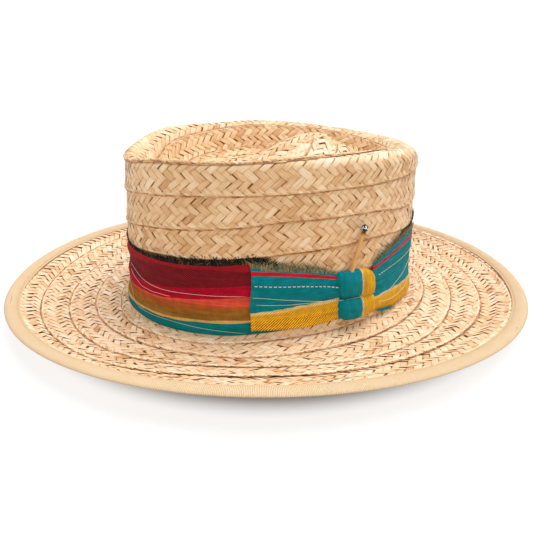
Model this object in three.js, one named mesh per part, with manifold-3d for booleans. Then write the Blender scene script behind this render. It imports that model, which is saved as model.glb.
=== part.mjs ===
// A soft straw hat: ribbed straw crown with a dented top, wide brim, bound edge, cloth band with a bow, and a
// wooden match tucked behind the bow. Millimetres, +Z up. The front of the hat faces -Y and the wearer's left
// is +X. Turns are in degrees round the head: 0 is the front, 90 the wearer's left, 180 the back.
import * as THREE from "three";
import Module from "manifold-3d";

const wasm = await Module();
wasm.setup();

// Straw body
const HEAD_LENGTH = 203; // outside of the crown, front to back
const HEAD_WIDTH = 162; // outside of the crown, side to side
const HEAD_BACK = 1.5; // the crown's middle lies this far behind the brim's
const CROWN_HEIGHT = 103.2; // mean height of the rim above the brim
const RIM_ARCH = 3.5; // how far the rim rises at the sides and sinks at the front and back
const CROWN_WALL = 2.2;
const WALL_LEAN = 3.4; // how far the foot of the wall stands out, where it leans most
const LEAN_TOP = 36; // height above which the wall is upright
const RIM_ROUND = 9; // largest rounding of the rim
const TIP_DEPTH = 19; // how far the floor of the dent lies below the rim
const TIP_SLOPE_RUN = 22; // width of the slope from the rim to that floor
const FLOOR_TILT = 0.03; // the floor rises this much for each millimetre towards the back
const ISLAND_HEIGHT = 20.5; // raised drop in the middle of the dent
const ISLAND_HALF_WIDTH = 45;
const ISLAND_FRONT_REACH = 74;
const ISLAND_BACK_REACH = 52;
const ISLAND_TOP_AT = 30; // the drop's highest point lies this far behind the middle
const ISLAND_NARROWING = 0.55; // share of its width that the drop loses towards the front

// Brim
const BRIM_LENGTH = 360; // over the binding, front to back
const BRIM_WIDTH = 340; // over the binding, side to side
const BRIM_THICKNESS = 1.8;
const BRIM_SIDE_LIFT = 10.6; // rise of the edge
const BRIM_NEAR_LIFT = 19.4; // rise of the edge where the brim turns up most
const LIFT_TURN = 58; // that place, between the front and the wearer's left

// Cloth
const CLOTH = 1; // thickness of binding, band and bow strips
const BINDING_REACH = 10; // width of the binding on each face of the brim
const BAND_HEIGHT = 50;
const BAND_FOLD = 0.5; // how far the soft folds of the band stand out
const KNOT_THICKNESS = 4.6;
const KNOT_PINCH = 0.8; // the wrap's waist is this much flatter than its ends
const FRAY = 3.4; // length of the loose threads on the raw edges
const FRAY_LOCK = 9; // width of one lock of threads

// Match
const STICK_SIDE = 2.3;
const STICK_TUCK = 9; // length hidden behind the knot
const HEAD_LONG = 5;
const HEAD_ROUND = 4.2;

const GAP = 0.3; // clearance between neighbouring pieces

const DEG = Math.PI / 180;
const STATIONS = 56; // round the head

// How the brim rises from the crown to its edge. out is the share of the way to the edge, side and near are
// shares of the two lifts.
const BRIM_RISE = [
  { out: 0, side: 0, near: 0 },
  { out: 0.24, side: 0, near: 0 },
  { out: 0.5, side: 0.03, near: 0.22 },
  { out: 0.76, side: 0.32, near: 0.64 },
  { out: 1, side: 1, near: 1 },
];

// Rounding of the rim as a share of RIM_ROUND. The rim is folded sharp at the front and the near side.
const RIM_TABLE = [
  { turn: -40, round: 0.36 },
  { turn: 50, round: 0.33 },
  { turn: 85, round: 0.5 },
  { turn: 120, round: 0.9 },
  { turn: 180, round: 1 },
  { turn: 240, round: 0.75 },
  { turn: 290, round: 0.5 },
];

// Height of the rim over or under its mean, as a share of RIM_ARCH.
const RIM_RISE = [
  { turn: -90, rise: 0.65 },
  { turn: -60, rise: 0.4 },
  { turn: -30, rise: -1.1 },
  { turn: 0, rise: -1.15 },
  { turn: 26, rise: 0.05 },
  { turn: 55, rise: 0.7 },
  { turn: 80, rise: 1 },
  { turn: 100, rise: 0.9 },
  { turn: 130, rise: 0 },
  { turn: 165, rise: -1 },
  { turn: 190, rise: -0.85 },
  { turn: 215, rise: -0.3 },
  { turn: 240, rise: 0.3 },
];

// How far the foot of the wall leans out, as a share of WALL_LEAN. It is upright beside the bow.
const LEAN_TABLE = [
  { turn: -60, share: 1 },
  { turn: -10, share: 1 },
  { turn: 20, share: 0.5 },
  { turn: 58, share: 0.12 },
  { turn: 95, share: 0.4 },
  { turn: 135, share: 1 },
];

// Edges of the band round the head, as shares of BAND_HEIGHT above the brim. It is pinched by the knot.
const BAND_EDGES = [
  { turn: -140, low: 0.08, top: 1.02 },
  { turn: -90, low: 0.07, top: 0.98 },
  { turn: -40, low: 0.07, top: 0.94 },
  { turn: 0, low: 0.07, top: 0.92 },
  { turn: 20, low: 0.05, top: 0.94 },
  { turn: 45, low: 0.06, top: 0.98 },
  { turn: 60, low: 0.1, top: 1.04 },
  { turn: 72, low: 0.14, top: 0.96 },
  { turn: 82, low: 0.16, top: 0.8 },
  { turn: 88, low: 0.16, top: 0.71 },
  { turn: 102, low: 0.14, top: 0.7 },
  { turn: 112, low: 0.1, top: 0.88 },
  { turn: 126, low: 0.07, top: 1.1 },
  { turn: 150, low: 0.06, top: 1.14 },
  { turn: 185, low: 0.07, top: 1.06 },
];

// Edges of the bow's front strip and of its tail, in the same shares.
const BOW_START = 55.6;
const KNOT_START = 86.8;
const KNOT_END = 103;
const TAIL_END = 136;
const BOW_EDGES = [
  { turn: 55, low: 0.15, top: 1.03 },
  { turn: 66, low: 0.145, top: 0.98 },
  { turn: 76, low: 0.15, top: 0.9 },
  { turn: 83, low: 0.165, top: 0.82 },
  { turn: 88, low: 0.19, top: 0.76 },
];
const TAIL_EDGES = [
  { turn: 102, low: 0.12, top: 0.72 },
  { turn: 108, low: 0.07, top: 0.8 },
  { turn: 116, low: 0.04, top: 0.87 },
  { turn: 126, low: 0.035, top: 0.94 },
  { turn: 137, low: 0.04, top: 0.99 },
];
const KNOT_EDGES = [
  { turn: 86, low: 0.1, top: 0.79 },
  { turn: 95, low: 0.105, top: 0.76 },
  { turn: 104, low: 0.1, top: 0.74 },
];

// Soft lengthwise folds of the band: up is the share of the way from its lower to its upper edge.
const FOLD_TABLE = [
  { up: 0, out: 0 },
  { up: 0.14, out: 0.8 },
  { up: 0.26, out: 0.1 },
  { up: 0.42, out: 1 },
  { up: 0.58, out: 0.2 },
  { up: 0.76, out: 0.9 },
  { up: 1, out: 0 },
];

// Where the match's stick leaves the knot and where its head is, in turns and in shares of BAND_HEIGHT.
const MATCH_FOOT = { turn: 91, up: 0.76 };
const MATCH_HEAD = { turn: 96.3, up: 1.285 };

// A smooth curve through the column of a table, without overshoot.
function along(table, key, column, x) {
  const last = table.length - 1;
  if (x <= table[0][key]) return table[0][column];
  if (x >= table[last][key]) return table[last][column];
  let i = 0;
  while (x > table[i + 1][key]) i += 1;
  const rise = (k) => (table[k + 1][column] - table[k][column]) / (table[k + 1][key] - table[k][key]);
  const slope = (k) => {
    if (k === 0 || k === last) return 0;
    const before = rise(k - 1);
    const after = rise(k);
    return before * after <= 0 ? 0 : (2 * before * after) / (before + after);
  };
  const span = table[i + 1][key] - table[i][key];
  const u = (x - table[i][key]) / span;
  const a = table[i][column];
  const b = table[i + 1][column];
  return (
    a * (1 + 2 * u) * (1 - u) ** 2 +
    slope(i) * span * u * (1 - u) ** 2 +
    b * u * u * (3 - 2 * u) -
    slope(i + 1) * span * u * u * (1 - u)
  );
}

// The same for a table that closes round the head.
function round(table, column, turn) {
  const first = table[0].turn;
  const t = ((((turn - first) % 360) + 360) % 360) + first;
  const lead = table[table.length - 1];
  const closed = [
    { ...lead, turn: lead.turn - 360 },
    ...table,
    { ...table[0], turn: first + 360 },
    { ...table[1], turn: table[1].turn + 360 },
  ];
  return along(closed, "turn", column, t);
}

const ease = (u) => {
  const c = Math.min(1, Math.max(0, u));
  return c * c * (3 - 2 * c);
};

// Point on the oval with half-axes long (front to back) and wide, at a turn.
function oval(long, wide, turn, back = 0) {
  return [wide * Math.sin(turn * DEG), back - long * Math.cos(turn * DEG)];
}

// How far the wall leans out at a turn and a height.
function lean(turn, up) {
  return WALL_LEAN * round(LEAN_TABLE, "share", turn) * Math.max(0, 1 - up / LEAN_TOP) ** 2;
}

// Point off the crown's wall: out is measured square to the wall, up from the top face of the brim.
function onWall(turn, off, up) {
  const out = off + lean(turn, up);
  const long = HEAD_LENGTH / 2;
  const wide = HEAD_WIDTH / 2;
  const [x, y] = oval(long, wide, turn, HEAD_BACK);
  const nx = Math.sin(turn * DEG) / wide;
  const ny = -Math.cos(turn * DEG) / long;
  const n = Math.hypot(nx, ny);
  return [x + (out * nx) / n, y + (out * ny) / n, BRIM_THICKNESS + up];
}

// Half-axes of the straw brim at a share of the way from the crown to the edge of the straw.
const EDGE_OVER_STRAW = GAP + CLOTH;
const STRAW_LONG = BRIM_LENGTH / 2 - EDGE_OVER_STRAW;
const STRAW_WIDE = BRIM_WIDTH / 2 - EDGE_OVER_STRAW;
const BRIM_REACH = (STRAW_LONG - HEAD_LENGTH / 2 + STRAW_WIDE - HEAD_WIDTH / 2) / 2;

function brimTop(turn, out) {
  const long = HEAD_LENGTH / 2 + (STRAW_LONG - HEAD_LENGTH / 2) * out;
  const wide = HEAD_WIDTH / 2 + (STRAW_WIDE - HEAD_WIDTH / 2) * out;
  const [x, y] = oval(long, wide, turn, HEAD_BACK * (1 - out));
  const away = Math.atan2(x, -y) - LIFT_TURN * DEG;
  const share = Math.max(0, Math.cos(away)) ** 2;
  const side = along(BRIM_RISE, "out", "side", out) * BRIM_SIDE_LIFT;
  const near = along(BRIM_RISE, "out", "near", out) * BRIM_NEAR_LIFT;
  return [x, y, BRIM_THICKNESS + side * (1 - share) + near * share];
}

// Height of the rim at a turn, above the brim.
const rimUp = (turn) => CROWN_HEIGHT + RIM_ARCH * round(RIM_RISE, "rise", turn);

// Floor of the dent with its raised drop, above the brim.
function floorUp(x, y) {
  const dy = y - ISLAND_TOP_AT;
  const reach = dy < 0 ? ISLAND_FRONT_REACH : ISLAND_BACK_REACH;
  const narrow = dy < 0 ? 1 - ISLAND_NARROWING * ease(-dy / ISLAND_FRONT_REACH) : 1;
  const far = Math.min(1, Math.hypot(x / (ISLAND_HALF_WIDTH * narrow), dy / reach));
  return CROWN_HEIGHT - TIP_DEPTH + FLOOR_TILT * y + ISLAND_HEIGHT * 0.5 * (1 + Math.cos(Math.PI * far));
}

// Outer face of the crown's top: inset is how far in from the wall, in plan.
function tipPoint(turn, inset) {
  const [x, y] = oval(HEAD_LENGTH / 2 - inset, HEAD_WIDTH / 2 - inset, turn, HEAD_BACK);
  const rounding = RIM_ROUND * round(RIM_TABLE, "round", turn);
  const rim = rimUp(turn);
  if (inset < rounding) {
    const drop = rounding - Math.sqrt(rounding ** 2 - (rounding - inset) ** 2);
    return [x, y, BRIM_THICKNESS + rim - drop];
  }
  const floor = floorUp(x, y);
  const down = ease((inset - rounding) / TIP_SLOPE_RUN);
  return [x, y, BRIM_THICKNESS + rim + (floor - rim) * down];
}

// One closed body from rings of points. Neighbouring rings are joined all round.
function mesh(name, colour, triangles) {
  const geometry = new THREE.BufferGeometry();
  geometry.setAttribute("position", new THREE.Float32BufferAttribute(triangles.flat(2), 3));
  geometry.computeVertexNormals();
  const made = new THREE.Mesh(geometry, new THREE.MeshStandardMaterial({ color: colour, roughness: 0.9 }));
  made.name = name;
  return made;
}

function joinRows(rows, closedAcross, closedAlong) {
  const out = [];
  const rowCount = closedAcross ? rows.length : rows.length - 1;
  for (let i = 0; i < rowCount; i += 1) {
    const a = rows[i];
    const b = rows[(i + 1) % rows.length];
    const steps = closedAlong ? a.length : a.length - 1;
    for (let j = 0; j < steps; j += 1) {
      const k = (j + 1) % a.length;
      out.push([a[j], b[k], a[k]], [a[j], b[j], b[k]]);
    }
  }
  return out.filter(([p, q, r]) => !same(p, q) && !same(q, r) && !same(p, r));
}

const same = (p, q) => Math.hypot(p[0] - q[0], p[1] - q[1], p[2] - q[2]) < 1e-6;

const turnAt = (i, count = STATIONS) => (360 * i) / count;

// A ring whose cross-section is given, point by point, for each turn.
function ringBody(section, count = STATIONS) {
  const columns = [];
  for (let i = 0; i < count; i += 1) columns.push(section(turnAt(i, count)));
  const rows = columns[0].map((_, k) => columns.map((column) => column[k]));
  return joinRows(rows, true, true);
}

// A strip from one turn to another, closed at both ends by flat caps.
function stripBody(section, from, to, count) {
  const columns = [];
  for (let i = 0; i <= count; i += 1) columns.push(section(from + ((to - from) * i) / count, i));
  const rows = columns[0].map((_, k) => columns.map((column) => column[k]));
  const out = joinRows(rows, true, false);
  const first = columns[0];
  const last = columns[count];
  for (const [face, flip] of [
    [first, false],
    [last, true],
  ]) {
    const half = face.length / 2;
    for (let k = 0; k < half - 1; k += 1) {
      const p = face[k];
      const q = face[k + 1];
      const r = face[face.length - 2 - k];
      const s = face[face.length - 1 - k];
      const two = [
        [p, r, q],
        [p, s, r],
      ];
      for (const t of two) out.push(flip ? [t[0], t[2], t[1]] : t);
    }
  }
  return out.filter(([p, q, r]) => !same(p, q) && !same(q, r) && !same(p, r));
}

// Crown: wall, rim, dent and raised drop, hollow below.
const WALL_LEVELS = [0, 0.15, 0.34, 0.65, 0.88];
const RIM_LEVELS = [0, 0.1, 0.35, 0.7];
const SLOPE_LEVELS = [0, 0.14, 0.28, 0.42, 0.58, 0.75, 1];
const CENTRE_LEVELS = [0.12, 0.28, 0.48, 0.72, 1];

function crownLine(turn) {
  const rounding = RIM_ROUND * round(RIM_TABLE, "round", turn);
  const shoulder = rimUp(turn) - rounding;
  const line = WALL_LEVELS.map((share) => onWall(turn, 0, GAP + (shoulder - GAP) * share));
  for (const share of RIM_LEVELS) line.push(tipPoint(turn, rounding * share));
  for (const share of SLOPE_LEVELS) line.push(tipPoint(turn, rounding + TIP_SLOPE_RUN * share));
  const start = rounding + TIP_SLOPE_RUN;
  for (const share of CENTRE_LEVELS) line.push(tipPoint(turn, start + (HEAD_WIDTH / 2 - start) * share));
  return line;
}

function crownBody() {
  const lines = [];
  for (let i = 0; i < STATIONS; i += 1) lines.push(crownLine(turnAt(i)));
  const levels = lines[0].length;
  const at = (i, k) => new THREE.Vector3(...lines[(i + STATIONS) % STATIONS][k]);
  const inner = lines.map((line, i) =>
    line.map((p, k) => {
      const normal = new THREE.Vector3();
      if (k === levels - 1) {
        const step = 0.5;
        const zx = (floorUp(p[0] + step, p[1]) - floorUp(p[0] - step, p[1])) / (2 * step);
        const zy = (floorUp(p[0], p[1] + step) - floorUp(p[0], p[1] - step)) / (2 * step);
        normal.set(-zx, -zy, 1).normalize();
      } else {
        const round1 = at(i + 1, k).sub(at(i - 1, k));
        const up = at(i, k + 1).sub(at(i, Math.max(0, k - 1)));
        normal.crossVectors(round1, up).normalize();
      }
      const q = new THREE.Vector3(...p).addScaledVector(normal, -CROWN_WALL);
      return [q.x, q.y, k === 0 ? p[2] : q.z];
    }),
  );
  const outerRows = lines[0].map((_, k) => lines.map((line) => line[k]));
  const innerRows = inner[0].map((_, k) => inner.map((line) => line[k]));
  const faces = joinRows([...innerRows].reverse().concat(outerRows), false, true);
  return faces.map(([p, q, r]) => [p, r, q]);
}

// Brim: a flat seat round the head opening, rising towards the edge.
const BOUND_FROM = 1 - BINDING_REACH / BRIM_REACH;
const BOUND_LEVELS = [BOUND_FROM, (BOUND_FROM + 1) / 2, 1];
const OPEN_LEVELS = [0, 0.14, 0.274, 0.42, 0.57, 0.72, 0.87]; // shares of the way to the binding
const BRIM_LEVELS = OPEN_LEVELS.map((share) => share * BOUND_FROM).concat(BOUND_LEVELS);

function brimSection(turn) {
  const top = BRIM_LEVELS.map((out) => brimTop(turn, out));
  const [ix, iy] = onWall(turn, -CROWN_WALL - lean(turn, 0), 0);
  const inside = [ix, iy, BRIM_THICKNESS];
  const faces = [inside, ...top.slice(1)];
  const below = faces.map(([x, y, z]) => [x, y, z - BRIM_THICKNESS]).reverse();
  return [...faces, ...below];
}

// Binding: cloth folded over the brim's edge, on both faces.
function bindingSection(turn) {
  const shares = BOUND_LEVELS;
  const past = (distance) => 1 + distance / BRIM_REACH;
  const place = (out, lift) => {
    const [x, y, z] = brimTop(turn, Math.min(out, 1));
    const [ox, oy] = out > 1 ? outward(turn, out) : [x, y];
    return [ox, oy, z + lift];
  };
  const high = GAP + CLOTH;
  const low = -BRIM_THICKNESS - GAP - CLOTH;
  const middle = -BRIM_THICKNESS / 2;
  return [
    place(shares[0], GAP),
    place(shares[0], high),
    place(shares[1], high),
    place(shares[2], high),
    place(past(EDGE_OVER_STRAW * 0.7), GAP + CLOTH * 0.3),
    place(past(EDGE_OVER_STRAW), middle),
    place(past(EDGE_OVER_STRAW * 0.7), -BRIM_THICKNESS - GAP - CLOTH * 0.3),
    place(shares[2], low),
    place(shares[1], low),
    place(shares[0], low),
    place(shares[0], -BRIM_THICKNESS - GAP),
    place(shares[1], -BRIM_THICKNESS - GAP),
    place(past(GAP), -BRIM_THICKNESS - GAP),
    place(past(GAP), GAP),
    place(shares[1], GAP),
  ];
}

function outward(turn, out) {
  const long = HEAD_LENGTH / 2 + (STRAW_LONG - HEAD_LENGTH / 2) * out;
  const wide = HEAD_WIDTH / 2 + (STRAW_WIDE - HEAD_WIDTH / 2) * out;
  return oval(long, wide, turn, HEAD_BACK * (1 - out));
}

// Strips of cloth that lie against the wall, one over the other.
const BAND_IN = GAP;
const BAND_OUT = BAND_IN + CLOTH;
const BOW_IN = BAND_OUT + BAND_FOLD + GAP;
const BOW_OUT = BOW_IN + CLOTH;

function strip(turn, low, top, inside, outside, fold) {
  const back = FOLD_TABLE.map(({ up }) => onWall(turn, inside, low + (top - low) * up));
  const outer = FOLD_TABLE.map(({ up, out }) => onWall(turn, outside + out * fold, low + (top - low) * up));
  return [...back, ...outer.reverse()];
}

const bandSection = (turn) =>
  strip(
    turn,
    BAND_HEIGHT * round(BAND_EDGES, "low", turn),
    BAND_HEIGHT * round(BAND_EDGES, "top", turn),
    BAND_IN,
    BAND_OUT,
    BAND_FOLD,
  );

const edged = (table, column, turn) => BAND_HEIGHT * along(table, "turn", column, turn);

const bowSection = (turn) =>
  strip(turn, edged(BOW_EDGES, "low", turn), edged(BOW_EDGES, "top", turn), BOW_IN, BOW_OUT, BAND_FOLD);

const tailSection = (turn) =>
  strip(turn, edged(TAIL_EDGES, "low", turn), edged(TAIL_EDGES, "top", turn), BOW_IN, BOW_OUT, BAND_FOLD);

// A frayed edge: locks of thread of two lengths on a narrow backing above the cloth's edge.
function fraySection(edge, inside, outside) {
  return (turn, i) => {
    const foot = edge(turn) + GAP;
    const tall = i % 2 === 0 ? FRAY * 0.35 : FRAY * (0.75 + 0.25 * Math.sin(i * 2.3));
    return [
      onWall(turn, inside, foot),
      onWall(turn, inside, foot + tall),
      onWall(turn, outside - CLOTH * 0.3, foot + tall),
      onWall(turn, outside, foot),
    ];
  };
}

// Knot: a padded wrap over the pinched ends of the strips, with a slot behind it for the match.
const KNOT_TABLE = [
  { across: 0, out: 0.35 },
  { across: 0.12, out: 0.85 },
  { across: 0.3, out: 1 },
  { across: 0.48, out: 0.9 },
  { across: 0.56, out: 0.72 },
  { across: 0.64, out: 0.88 },
  { across: 0.82, out: 0.86 },
  { across: 1, out: 0.35 },
];

function knotSection(turn) {
  const across = (turn - KNOT_START) / (KNOT_END - KNOT_START);
  const out = along(KNOT_TABLE, "across", "out", across) * KNOT_THICKNESS;
  const low = edged(KNOT_EDGES, "low", turn);
  const top = edged(KNOT_EDGES, "top", turn);
  const waist = KNOT_PINCH * along(KNOT_TABLE, "across", "out", across);
  const at = (share, thick) => onWall(turn, BOW_IN + thick, low + (top - low) * share);
  return [
    at(0, 0),
    at(0.25, 0),
    at(0.5, 0),
    at(0.75, 0),
    at(1, 0),
    at(0.97, out * 0.55),
    at(0.9, out * 0.9),
    at(0.7, out),
    at(0.5, out - waist),
    at(0.3, out),
    at(0.1, out * 0.9),
    at(0.03, out * 0.55),
  ];
}

// Match: a square stick with a rounded head.
const matchOut = BOW_IN + STICK_SIDE / 2;
const foot = new THREE.Vector3(...onWall(MATCH_FOOT.turn, matchOut, BAND_HEIGHT * MATCH_FOOT.up));
const tipAt = new THREE.Vector3(...onWall(MATCH_HEAD.turn, matchOut, BAND_HEIGHT * MATCH_HEAD.up));
const axis = tipAt.clone().sub(foot).normalize();
const stickLength = tipAt.distanceTo(foot) + STICK_TUCK - HEAD_LONG / 2 - GAP;

function matchFrame(distance) {
  const facing = new THREE.Vector3(...onWall(MATCH_FOOT.turn, 1, 0)).sub(
    new THREE.Vector3(...onWall(MATCH_FOOT.turn, 0, 0)),
  );
  const side = new THREE.Vector3().crossVectors(axis, facing).normalize();
  const front = new THREE.Vector3().crossVectors(axis, side).normalize();
  const middle = foot.clone().addScaledVector(axis, distance);
  return new THREE.Matrix4().makeBasis(side, front, axis).setPosition(middle);
}

function stickGeometry(extra) {
  const side = STICK_SIDE + 2 * extra;
  const long = stickLength + 2 * extra;
  const box = new THREE.BoxGeometry(side, side, long);
  box.applyMatrix4(matchFrame(stickLength / 2 - STICK_TUCK));
  return box;
}

function headGeometry() {
  const ball = new THREE.SphereGeometry(HEAD_ROUND / 2, 12, 8);
  ball.scale(1, 1, HEAD_LONG / HEAD_ROUND);
  ball.applyMatrix4(matchFrame(tipAt.distanceTo(foot)));
  return ball;
}

// Boolean work on geometries through solids.
function solidOf(geometry) {
  const flat = geometry.index ? geometry.toNonIndexed() : geometry;
  const points = flat.getAttribute("position");
  const index = new Map();
  const vertices = [];
  const corners = [];
  for (let i = 0; i < points.count; i += 1) {
    const p = [points.getX(i), points.getY(i), points.getZ(i)];
    const key = p.map((v) => Math.round(v * 2000)).join(",");
    if (!index.has(key)) {
      index.set(key, vertices.length / 3);
      vertices.push(...p);
    }
    corners.push(index.get(key));
  }
  const faces = [];
  for (let i = 0; i < corners.length; i += 3) {
    const [a, b, c] = corners.slice(i, i + 3);
    if (a !== b && b !== c && a !== c) faces.push(a, b, c);
  }
  return new wasm.Manifold(
    new wasm.Mesh({
      numProp: 3,
      vertProperties: new Float32Array(vertices),
      triVerts: new Uint32Array(faces),
    }),
  );
}

function trianglesOf(solid) {
  const m = solid.getMesh();
  const point = (v) => Array.from(m.vertProperties.subarray(v * m.numProp, v * m.numProp + 3));
  const out = [];
  for (let i = 0; i < m.triVerts.length; i += 3) {
    out.push([point(m.triVerts[i]), point(m.triVerts[i + 1]), point(m.triVerts[i + 2])]);
  }
  return out;
}

function geometryOf(triangles) {
  const geometry = new THREE.BufferGeometry();
  geometry.setAttribute("position", new THREE.Float32BufferAttribute(triangles.flat(2), 3));
  return geometry;
}

// The frayed edge of the band leaves out the stretch that the knot pinches.
const FRAY_FROM = 116;
const FRAY_TO = 360 + 76;
const girth = Math.PI * (HEAD_LENGTH + HEAD_WIDTH) / 2;
const locks = (from, to) => 2 * Math.round((girth * (to - from)) / 360 / FRAY_LOCK);
const KNOT_STEPS = 14;
const BOW_STEPS = 10;

const group = new THREE.Group();
group.add(mesh("crown", 0xe2bf8e, crownBody()));
group.add(mesh("brim", 0xf3d6a8, ringBody(brimSection)));
group.add(mesh("brim_binding", 0xf2d9b0, ringBody(bindingSection)));
group.add(mesh("hat_band", 0xa8243a, ringBody(bandSection)));

const bandTop = (turn) => BAND_HEIGHT * round(BAND_EDGES, "top", turn);
const bowTop = (turn) => edged(BOW_EDGES, "top", turn);
const tailTop = (turn) => edged(TAIL_EDGES, "top", turn);
const bandFray = fraySection(bandTop, BAND_IN, BAND_OUT);
const bowFray = fraySection(bowTop, BOW_IN, BOW_OUT);
const tailFray = fraySection(tailTop, BOW_IN, BOW_OUT);
group.add(mesh("band_frayed_edge", 0x2b2928, stripBody(bandFray, FRAY_FROM, FRAY_TO, locks(FRAY_FROM, FRAY_TO))));

const bowTo = KNOT_START - 0.3;
const tailFrom = KNOT_END + 0.3;
group.add(mesh("bow_strip", 0x1b8a8c, stripBody(bowSection, BOW_START, bowTo, BOW_STEPS)));
group.add(mesh("bow_tail", 0x1d8486, stripBody(tailSection, tailFrom, TAIL_END, BOW_STEPS)));
group.add(mesh("bow_frayed_edge", 0x5f7a68, stripBody(bowFray, BOW_START, bowTo - 3, locks(BOW_START, bowTo))));
group.add(mesh("tail_frayed_edge", 0x5f7a68, stripBody(tailFray, tailFrom + 3, TAIL_END, locks(tailFrom, TAIL_END))));

const knotWhole = solidOf(geometryOf(stripBody(knotSection, KNOT_START, KNOT_END, KNOT_STEPS)));
const knot = knotWhole.subtract(solidOf(stickGeometry(GAP)));
group.add(mesh("bow_knot", 0x17797d, trianglesOf(knot)));

const stick = new THREE.Mesh(stickGeometry(0), new THREE.MeshStandardMaterial({ color: 0xdcae6a, roughness: 0.7 }));
stick.name = "match_stick";
const head = new THREE.Mesh(headGeometry(), new THREE.MeshStandardMaterial({ color: 0x15161a, roughness: 0.25 }));
head.name = "match_head";
group.add(stick, head);

export default group;
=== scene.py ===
"""Looks of a soft straw hat: woven braid sewn in a spiral, a striped cloth band, a bow and a match."""

import bpy
import numpy as np
from mathutils import Matrix, Vector


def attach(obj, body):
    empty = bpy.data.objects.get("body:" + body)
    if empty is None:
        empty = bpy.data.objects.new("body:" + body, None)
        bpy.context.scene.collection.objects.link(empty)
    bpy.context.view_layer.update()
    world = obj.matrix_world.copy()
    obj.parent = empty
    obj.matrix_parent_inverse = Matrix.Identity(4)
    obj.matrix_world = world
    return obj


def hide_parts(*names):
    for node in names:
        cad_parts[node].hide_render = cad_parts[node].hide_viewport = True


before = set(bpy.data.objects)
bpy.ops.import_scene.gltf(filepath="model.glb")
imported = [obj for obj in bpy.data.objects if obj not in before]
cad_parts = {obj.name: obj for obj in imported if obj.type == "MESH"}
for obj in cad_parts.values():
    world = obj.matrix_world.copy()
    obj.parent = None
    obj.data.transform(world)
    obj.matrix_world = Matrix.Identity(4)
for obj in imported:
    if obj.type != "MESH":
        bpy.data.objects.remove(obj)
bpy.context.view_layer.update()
MM = 0.001
DEG = np.pi / 180

# Sizes in millimetres, the same as the solids'
HEAD_LONG, HEAD_WIDE, HEAD_BACK = 101.5, 81.0, 1.5
STRAW_LONG, STRAW_WIDE = 178.7, 168.7
BRIM_REACH = (STRAW_LONG - HEAD_LONG + STRAW_WIDE - HEAD_WIDE) / 2
BRIM_THICK, WALL_THICK = 1.8, 2.2
BAND_HEIGHT = 50.0
# The crown's rim: mean height above the brim, how far it rises and falls, and the radius of its fold
RIM_HEIGHT, RIM_SWING, RIM_RADIUS = 103.2, 3.5, 9
# The dent in the top: depth, length of its slope, and height of the drop in its middle
DENT_DEEP, DENT_SLOPE, DROP_HIGH = 19, 22, 20.5
# How far the brim's edge turns up, on the far side and on the side at VIEW_TURN that the photograph shows
FAR_LIFT, NEAR_LIFT, VIEW_TURN = 10.6, 19.4, 58


def curve(xs, ys, slope, x):
    """The cubic curve through the points that has these slopes there."""
    i = np.clip(np.searchsorted(xs, x, side="right") - 1, 0, len(xs) - 2)
    span = xs[i + 1] - xs[i]
    u = (x - xs[i]) / span
    return (
        ys[i] * (1 + 2 * u) * (1 - u) ** 2
        + slope[i] * span * u * (1 - u) ** 2
        + ys[i + 1] * u * u * (3 - 2 * u)
        - slope[i + 1] * span * u * u * (1 - u)
    )


def smooth(xs, ys, x):
    """A curve through the points, without overshoot."""
    xs, ys = np.asarray(xs, float), np.asarray(ys, float)
    rise = np.diff(ys) / np.diff(xs)
    slope = np.zeros_like(ys)
    a, b = rise[:-1], rise[1:]
    same_way = a * b > 0
    slope[1:-1] = np.where(same_way, 2 * a * b / np.where(same_way, a + b, 1), 0)
    return curve(xs, ys, slope, np.clip(x, xs[0], xs[-1]))


def along(table, x):
    """The same for a table of (place, value) pairs."""
    return smooth(*zip(*table), x)


def closed(table, turn):
    """The same for (turn, value) pairs that close round the head."""
    first, second, last = table[0], table[1], table[-1]
    t = (np.asarray(turn, float) - first[0]) % 360 + first[0]
    after = [(first[0] + 360, first[1]), (second[0] + 360, second[1])]
    return along([(last[0] - 360, last[1]), *table, *after], t)


def ease(u):
    c = np.clip(u, 0, 1)
    return c * c * (3 - 2 * c)


def bell(away, width):
    """1 at no distance, falling off softly on both sides."""
    return np.exp(-((away / width) ** 2))


def near_turn(turn, at, width):
    return bell((turn - at + 180) % 360 - 180, width)


def unit(v):
    return v / np.maximum(np.linalg.norm(v, axis=-1, keepdims=True), 1e-9)


def distance(points):
    """How far each point lies along the line through them all."""
    return np.concatenate([[0], np.cumsum(np.linalg.norm(np.diff(points, axis=0), axis=1))])


# Form of the straw body, in tables of (turn, share): the rim's fold, the rim's height and the wall's lean
RIM_ROUND = [(-40, 0.36), (50, 0.33), (85, 0.5), (120, 0.9), (180, 1), (240, 0.75), (290, 0.5)]
RIM_RISE = [
    (-90, 0.65), (-60, 0.4), (-30, -1.1), (0, -1.15), (26, 0.05), (55, 0.7), (80, 1),
    (100, 0.9), (130, 0), (165, -1), (190, -0.85), (215, -0.3), (240, 0.3),
]
WALL_LEAN, LEAN_TOP = 3.4, 36.0
LEAN = [(-60, 1), (-10, 1), (20, 0.5), (58, 0.12), (95, 0.4), (135, 1)]


def lean(turn, up):
    """How far the foot of the wall stands out."""
    return WALL_LEAN * closed(LEAN, turn) * np.maximum(0, 1 - np.asarray(up, float) / LEAN_TOP) ** 2


def outward(turn):
    """The level direction straight out of the wall."""
    nx, ny = np.sin(turn * DEG) / HEAD_WIDE, -np.cos(turn * DEG) / HEAD_LONG
    size = np.hypot(nx, ny)
    return nx / size, ny / size


def wall(turn, out, up):
    """Points of the crown's wall, or out millimetres in front of it."""
    out = out + lean(turn, up)
    nx, ny = outward(turn)
    x = HEAD_WIDE * np.sin(turn * DEG) + out * nx
    y = HEAD_BACK - HEAD_LONG * np.cos(turn * DEG) + out * ny
    return np.stack(np.broadcast_arrays(x, y, BRIM_THICK + up), -1)


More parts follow.
